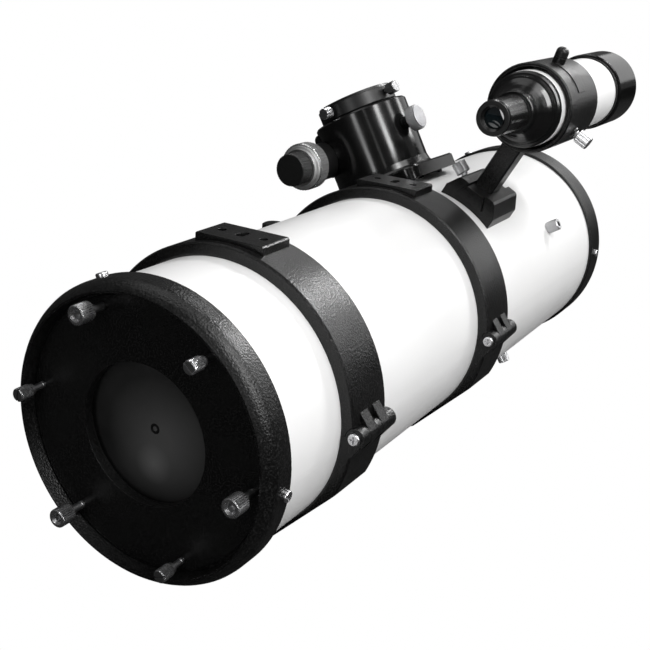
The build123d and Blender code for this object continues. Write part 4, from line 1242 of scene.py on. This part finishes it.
@dataclass
class MirrorCell:
    """The primary mirror, its tray, its springs and the six screws behind it.

    Attributes:
        screws: The collimation knobs' kind and the lock screws' kind.
        start: Where the thread that shows starts, measured from the plate, in metres.
        groove: The depth of the grooves round the heads.
        mark: The centre mark.
        painted_reflection: Where the painted reflection, a lighter patch on the mirror's back, lies
            across the tube.
    """

    screws: tuple[BackScrew, BackScrew] = (
        BackScrew("collimation_knob", "collimation", 6.2 * MM, 2.5 * MM, 11.8 * MM),
        BackScrew("lock_screw", "lock", 4.4 * MM, 2.0 * MM, 9.3 * MM, 0.9),
    )
    start: float = 1.4 * MM
    groove: float = 0.35 * MM
    mark: FlatRing = FlatRing(3.4 * MM, 1.6 * MM, 0.06 * MM)
    painted_reflection: tuple[float, float] = (1.0 * MM, -24.5 * MM)

    def back(self) -> float:
        """Where the mirror's back is along the tube."""
        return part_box("primary_mirror")[0].x

    def dress(self) -> None:
        """Gives the cell's nodes their finishes."""
        dress(Moulded("tray paint", 0.010, 0.5), "mirror_tray")
        dress(CLAMP_PLASTIC, "mirror_clips")
        # The primary's back gets a painted reflection patch.
        glass = MirrorGlass("primary glass", painted_reflection=(self.back(), *self.painted_reflection))
        dress(glass, "primary_mirror")
        dress(TurnedMetal("spring wire", metal=Metal.STEEL), "collimation_springs")

    def build(self) -> None:
        """Dresses and threads each screw, and marks the mirror's centre."""
        for letter in "abc":
            for kind in self.screws:
                self.screw(kind, letter)
        line = Spindle((self.back(), 0.0, 0.0), BACKWARDS)
        self.mark.build("mirror_centre_mark", line, "mirror_cell", RUBBER)

    def screw(self, kind: BackScrew, letter: str) -> None:
        """Dresses one screw and cuts the thread that shows.

        Args:
            kind: What kind of screw it is.
            letter: Which of the three it is.
        """
        node = f"{kind.node}_{letter}"
        middle = centre_of(node)
        line = Spindle((0.0, middle.y, middle.z), BACKWARDS)
        plating = TurnedMetal(
            f"{node} plating", line, Metal.CHROME, kind.head, self.groove, ends=kind.dark
        )
        dress(plating, node)
        thread = Thread(kind.shank, self.start, kind.end)
        thread.build(f"{node}_thread", line, f"{kind.body}_{letter}", plating)


@dataclass
class Cradle:
    """One of the two hinged rings that hold the tube.

    Attributes:
        place: rear or front.
    """

    place: str

    def dress(self) -> None:
        """Gives the ring's nodes their finishes."""
        dress(HAMMERED, f"{self.place}_ring_lower", f"{self.place}_ring_upper")
        dress(FELT, f"{self.place}_felt_lower", f"{self.place}_felt_upper")
        dress(CLAMP_PLASTIC, f"{self.place}_clamp_knob")
        pin = centre_of(f"{self.place}_hinge_pin")
        line = Spindle((pin.x, pin.y, pin.z))
        plating = TurnedMetal(f"{self.place} pin plating", line, Metal.CHROME)
        dress(plating, f"{self.place}_hinge_pin")


@dataclass
class Focuser:
    """The two-speed focuser on the tube's upper left.

    Attributes:
        middle: Where its axis meets the tube's, along the tube, in metres.
        shaft_side: The shaft's offset from the drawtube's axis.
        shaft_high: The shaft's distance from the tube's axis.
        face: The shaft block's outer face, as an offset.
        screws: Offsets along the tube and heights of the block's screws.
        head: The head of one of those screws.
        draw_wall: The radius under which the drawtube's wall is flat black.
        fine_grip: The fine knob's radius and half the width of its knurl.
        lock_grip: The same of the lock knob.
        lock_at: The lock knob's place: along the tube, to the side and out.
        collar_grip: The collar screws' radius and the depth of their grooves.
    """

    middle: float = 389.0 * MM
    shaft_side: float = 31.03 * MM
    shaft_high: float = 132.4 * MM
    face: float = 39.15 * MM
    screws: tuple[tuple[float, float], ...] = tuple(
        (x * MM, h * MM) for x in (-18.5, 18.5) for h in (121.0, 151.0)
    )
    head: SocketScrew = SocketScrew(2.7 * MM, 1.4 * MM, 1.5 * MM)
    draw_wall: float = 25.6 * MM
    fine_grip: tuple[float, float] = (13.6 * MM, 6.6 * MM)
    lock_grip: tuple[float, float] = (10.8 * MM, 3.9 * MM)
    lock_at: Triple = (-6.0 * MM, -52.0 * MM, 136.0 * MM)
    collar_grip: tuple[float, float] = (5.0 * MM, 0.4 * MM)

    def at(self, along: float, side: float, high: float) -> Triple:
        """A point given along the tube, to the knob side and out from the tube's axis."""
        point = Vector(FOCUSER_SIDE) * side + Vector(FOCUSER_OUT) * high
        return (self.middle + along, point.y, point.z)

    def dress(self) -> None:
        """Gives the focuser's nodes their finishes."""
        axis = Spindle(self.at(0.0, 0.0, 0.0), FOCUSER_OUT)
        dress(TurnedBlack("housing anodising", axis, 0.10), "focuser_body")
        dress(TurnedBlack("drawtube anodising", axis, 0.14, inside=self.draw_wall), "drawtube")
        dress(TurnedBlack("collar anodising", axis, 0.34, 0.002), "drawtube_collar")
        dress(Moulded("block anodising", 0.008, 0.3), "shaft_block")
        dress(TurnedMetal("compression brass", axis, Metal.BRASS), "compression_ring")
        dress(CAP_BLACK, "focuser_screws")
        dress(TurnedMetal("roller steel", metal=Metal.STEEL), "guide_rollers")
        shaft = Spindle(self.at(0.0, self.shaft_side, self.shaft_high))
        dress(TurnedMetal("shaft steel", shaft, Metal.STEEL), "pinion_shaft")
        dress(CoarseKnob("coarse knob aluminium", shaft), "coarse_knobs")
        fine = Spindle((centre_of("fine_knob").x, *shaft.origin[1:]))
        black = Metal.BLACK
        dress(Knurled("fine knob black", fine, black, *self.fine_grip, 52, black), "fine_knob")
        lock = Spindle(self.at(*self.lock_at), tuple(-value for value in FOCUSER_SIDE))
        grip = Knurled("lock knob aluminium", lock, Metal.STEEL, *self.lock_grip, 58, Metal.DULL)
        dress(grip, "draw_lock")
        for letter in "ab":
            self.collar_screw(f"collar_screw_{letter}")

    def collar_screw(self, node: str) -> None:
        """Dresses one of the collar's thumbscrews about its own line.

        Args:
            node: The screw's node.
        """
        middle = centre_of(node)
        root = Vector(self.at(0.0, 0.0, Vector(FOCUSER_OUT).dot(middle)))
        line = Spindle(tuple(root), tuple((middle - root).normalized()))
        plating = TurnedMetal(f"{node} plating", line, Metal.CHROME, *self.collar_grip, ends=0.8)
        dress(plating, node)

    def build(self) -> None:
        """Adds the cap screws that hold the shaft block."""
        for index, (along, high) in enumerate(self.screws):
            line = Spindle(self.at(along, self.face, high), FOCUSER_SIDE)
            self.head.build(f"block_screw_{index + 1}", line, "tube", CAP_BLACK)


@dataclass(frozen=True)
class CoarseKnob(Finish):
    """Satin aluminium with a fine knurl on the rim and polished steps on both faces.

    Attributes:
        line: The shaft's line, its origin midway between the knobs.
        rim: The grip's radius in metres.
        knurl: Where the knurl starts and ends, measured from the middle.
        cap: Where the polished step starts.
        teeth: Waves of the knurl round the rim.
        slope: Turns of its waves along the axis, in radians per metre.
    """

    line: Spindle = TUBE_LINE
    rim: float = 20.0 * MM
    knurl: tuple[float, float] = (60.4 * MM, 72.4 * MM)
    cap: float = 75.2 * MM
    teeth: float = 90.0
    slope: float = 2600.0

    def build(self, graph: Graph) -> bpy.types.Material:
        """A fine crossed knurl with painted shade in its valleys, lathe rings on the faces and
        polish on the steps.

        Args:
            graph: An empty graph for it.

        Returns:
            The finished material.
        """
        angle, radius, height = graph.about(self.line)
        away = height.size()
        band = (away > self.knurl[0]) * (away < self.knurl[1]) * (radius > self.rim - 0.0015)
        first = (angle * self.teeth + height * self.slope).sine()
        second = (angle * self.teeth - height * self.slope).sine()
        diamonds = (first * second).size()
        edge = (away > self.knurl[1]) * (radius > self.rim - 0.0012)
        polish = edge.highest(away > self.cap)
        rings = graph.lathe(height, radius, 700.0, 6200.0)
        # Painted shade: the knurl's valleys are darkened in the colour.
        tone = graph.mix(band * (1 - diamonds) * 0.8, grey(0.78), grey(0.16))
        roughness = rings.spread(0.34, 0.46) * (1 - polish) + polish * 0.18 + band * 0.06
        return graph.surface(
            Base_Color=graph.mix(polish, tone, grey(0.92)),
            Metallic=1.0,
            Roughness=roughness,
            Normal=graph.bump(band * diamonds + (1 - band) * rings * 0.03, 0.00025, 0.0003),
        )


@dataclass
class Finder:
    """The straight-through finder, its bracket and its aiming screws.

    Attributes:
        reach: The distance from the tube's axis to the finder's, in metres.
        aim: Where the aiming screws stand along the tube.
        screws: The aiming screws' clock angles about the finder.
        grip: The aiming screws' radius and the depth of their grooves.
        thread: The stretch of thread that shows on them.
        tube_wall: The radius under which the finder tube is black.
        hood_wall: The radius under which the hood is flat black.
        lens_ring: The ring that holds the front lens.
        lens_seat: How far the ring reaches behind the lens.
        eye_pad: The soft ring round the eye lens.
    """

    reach: float = 193.0 * MM
    aim: float = 372.0 * MM
    screws: tuple[tuple[str, float], ...] = (("a", 209.5), ("b", 343.0))
    grip: tuple[float, float] = (5.4 * MM, 0.5 * MM)
    thread: Thread = Thread(1.9 * MM, 36.1 * MM, 38.4 * MM, 0.6 * MM)
    tube_wall: float = 28.2 * MM
    hood_wall: float = 29.9 * MM
    lens_ring: FlatRing = FlatRing(24.4 * MM, 22.0 * MM, 1.2 * MM, 2)
    lens_seat: float = 0.8 * MM
    eye_pad: FlatRing = FlatRing(12.6 * MM, 9.4 * MM, 0.9 * MM)

    def axis(self, x: float = 0.0) -> Spindle:
        """The finder's axis, starting at x."""
        y, z = clock(FINDER_CLOCK)
        return Spindle((x, self.reach * y, self.reach * z))

    def dress(self) -> None:
        """Gives the finder's nodes their finishes."""
        axis = self.axis()
        dress(GlossEnamel("finder enamel", axis, self.tube_wall), "finder_tube")
        dress(TurnedBlack("finder anodising", axis, 0.15), "finder_eyepiece")
        dress(TurnedBlack("hood anodising", axis, 0.06, inside=self.hood_wall), "finder_objective")
        dress(CoatedLens("coated glass"), "finder_lens", "finder_eye_lens")
        dress(RUBBER, "finder_o_ring")
        dress(HAMMERED, "finder_bracket", "finder_shoe")
        dress(Moulded("plunger black", 0.010, 0.3), "finder_plunger")
        dress(TurnedMetal("shoe screw plating", metal=Metal.STEEL), "shoe_screw")

    def build(self) -> None:
        """Threads the aiming screws and adds the lens ring and the eye pad."""
        origin = self.axis(self.aim).origin
        for letter, angle in self.screws:
            line = Spindle(origin, (0.0, *clock(angle)))
            plating = TurnedMetal(f"aiming screw {letter} plating", line, Metal.CHROME, *self.grip)
            dress(plating, f"finder_screw_{letter}")
            self.thread.build(f"finder_screw_{letter}_thread", line, f"aim_{letter}", plating)
        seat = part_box("finder_lens")[1].x - self.lens_seat
        self.lens_ring.build("lens_ring", self.axis(seat), "finder_front", CLAMP_PLASTIC)
        eye = Spindle(self.axis(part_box("finder_eyepiece")[0].x).origin, BACKWARDS)
        self.eye_pad.build("eye_pad", eye, "finder", RUBBER)


# ---------------------------------------------------------------- studio
@dataclass(frozen=True)
class Lamp:
    """A soft rectangular lamp.

    Attributes:
        name: Its name.
        place: Where it stands, in metres.
        target: What it points at.
        size: Its width and height.
        power: Its power in watts.
        tall: The direction of its height.
    """

    name: str
    place: Triple
    target: Triple
    size: tuple[float, float]
    power: float
    tall: Triple = UP

    def build(self) -> None:
        """Adds the lamp, turned to its target and unseen by the camera."""
        light = bpy.data.lights.new(self.name, "AREA")
        light.shape = "RECTANGLE"
        light.size, light.size_y = self.size
        light.energy = self.power
        lamp = bpy.data.objects.new(self.name, light)
        bpy.context.scene.collection.objects.link(lamp)
        back = (Vector(self.place) - Vector(self.target)).normalized()
        wide = Vector(self.tall).cross(back).normalized()
        turn = Matrix((wide, back.cross(wide), back)).transposed().to_4x4()
        lamp.matrix_world = Matrix.Translation(Vector(self.place)) @ turn
        lamp.visible_camera = False


TUBE_MIDDLE: Triple = (0.25, 0.0, 0.0)
REAR_END: Triple = (0.1, -0.05, 0.05)
HOUSING: Triple = (0.39, 0.07, 0.12)


@dataclass
class Studio:
    """The pale floor, the plain light and the camera.

    Attributes:
        eye: The camera's place, in metres.
        right: The camera's rightward direction.
        up: The camera's upward direction.
        lens: Its focal length in millimetres on a 36 mm sensor.
        world: The strength of the light from all round.
        lamps: The lamps. The strips stand along the focuser's axis, for the stripes on its housing.
        floor_size: The floor's width.
        floor_middle: The floor's middle along the tube.
        floor_gap: How far under the object it lies.
        paper: The floor's darkest and lightest grey for bounced light.
        dim: How much darker the floor is in reflections, 0 to 1.
    """

    eye: Triple = (-0.4415, -0.3673, 0.2895)
    right: Triple = (0.5112, -0.8568, 0.0672)
    up: Triple = (0.2691, 0.2338, 0.9343)
    lens: float = 58.6
    world: float = 0.08
    lamps: tuple[Lamp, ...] = (
        Lamp("key", (0.05, -0.75, 1.5), TUBE_MIDDLE, (1.1, 0.8), 11.0),
        Lamp("top", (0.1, 0.45, 1.4), TUBE_MIDDLE, (1.0, 1.0), 3.6),
        Lamp("sheen", (1.9, -0.45, 0.75), REAR_END, (1.5, 0.9), 3.6),
        Lamp("right glint", (1.65, -0.85, 0.75), REAR_END, (0.28, 0.25), 2.2),
        Lamp("low glint", (1.7, -1.0, 0.42), REAR_END, (0.25, 0.2), 1.2),
        Lamp("upper spot", (1.55, 0.35, 1.28), REAR_END, (0.4, 0.25), 3.0),
        Lamp("spot", (1.5, -0.45, 1.1), REAR_END, (0.26, 0.26), 15.0),
        Lamp("broad strip", (-0.18, -1.17, 0.96), HOUSING, (0.26, 1.1), 16.0, FOCUSER_OUT),
        Lamp("left strip", (-1.18, -0.14, 0.37), HOUSING, (0.22, 1.0), 3.8, FOCUSER_OUT),
        Lamp("thin strip", (-0.85, -0.75, 0.72), HOUSING, (0.05, 1.0), 0.4, FOCUSER_OUT),
        Lamp("side strip", (0.75, -1.22, 1.0), HOUSING, (0.20, 0.6), 3.0, FOCUSER_OUT),
    )
    floor_size: float = 60.0
    floor_middle: float = 0.3
    floor_gap: float = 0.2 * MM
    paper: tuple[float, float] = (0.28, 0.32)
    dim: float = 0.9

    def build(self) -> None:
        """Sets up everything round the object."""
        self.floor()
        self.backdrop()
        for lamp in self.lamps:
            lamp.build()
        self.camera()
        bpy.context.scene.view_settings.view_transform = "Standard"

    def seen(self, graph: Graph) -> Signal:
        """One for rays from the camera or through glass."""
        camera = graph.add("ShaderNodeLightPath", {}, {}, "Is Camera Ray")
        return camera.highest(graph.add("ShaderNodeLightPath", {}, {}, "Is Transmission Ray"))

    def floor(self) -> None:
        """A wide floor: white where it is seen, grey for bounced light and dark in reflections."""
        low = CAD_BOX[0].z - self.floor_gap
        bpy.ops.object.select_all(action="DESELECT")
        bpy.ops.mesh.primitive_plane_add(
            size=self.floor_size, location=(self.floor_middle, 0.0, low)
        )
        floor = bpy.context.active_object
        floor.name = "floor"
        graph = Graph(bpy.data.materials.new("floor paper"))
        grain = graph.noise(300.0, 3.0)
        glossy = graph.add("ShaderNodeLightPath", {}, {}, "Is Glossy Ray")
        paper = graph.mix(grain, grey(self.paper[0]), grey(self.paper[1]))
        tone = graph.mix(glossy * self.dim, paper, grey(0.0))
        matt = graph.add("ShaderNodeBsdfDiffuse", {}, {"Color": tone})
        glow = graph.add("ShaderNodeEmission", {}, {"Color": grey(1.0), "Strength": 1.0})
        blend = graph.add("ShaderNodeMixShader", {}, {0: self.seen(graph), 1: matt, 2: glow})
        graph.close(blend)
        floor.data.materials.append(graph.owner)

    def backdrop(self) -> None:
        """White where it is seen, and a dimmer even light elsewhere."""
        world = bpy.data.worlds.new("studio")
        bpy.context.scene.world = world
        graph = Graph(world)
        strength = self.seen(graph).span(0.0, 1.0, self.world, 1.0)
        values: Sockets = {"Color": grey(1.0), "Strength": strength}
        graph.close(graph.add("ShaderNodeBackground", {}, values), "ShaderNodeOutputWorld")

    def camera(self) -> None:
        """The camera, which looks along the tube from behind and above its mirror end."""
        data = bpy.data.cameras.new("camera")
        data.lens = self.lens
        data.sensor_width = 36.0
        data.clip_start, data.clip_end = 0.01, 50.0
        camera = bpy.data.objects.new("camera", data)
        bpy.context.scene.collection.objects.link(camera)
        right, up = Vector(self.right).normalized(), Vector(self.up).normalized()
        back = right.cross(up).normalized()
        turn = Matrix((right, back.cross(right), back)).transposed().to_4x4()
        camera.matrix_world = Matrix.Translation(Vector(self.eye)) @ turn
        bpy.context.scene.camera = camera


def corners(box: tuple[Vector, Vector]) -> list[list[float]]:
    """A box as plain lists of numbers."""
    return [[round(value, 6) for value in corner] for corner in box]


def main() -> None:
    """Dresses every sub-assembly, adds its pieces and sets up the studio."""
    logging.basicConfig(level=logging.INFO, format="%(name)s: %(message)s")
    tube, cell, focuser, finder = TubeAssembly(), MirrorCell(), Focuser(), Finder()
    tube.dress()
    cell.dress()
    cell.build()
    for place in ("rear", "front"):
        Cradle(place).dress()
    focuser.dress()
    focuser.build()
    finder.dress()
    finder.build()
    Studio().build()


if __name__ == "__main__":
    main()
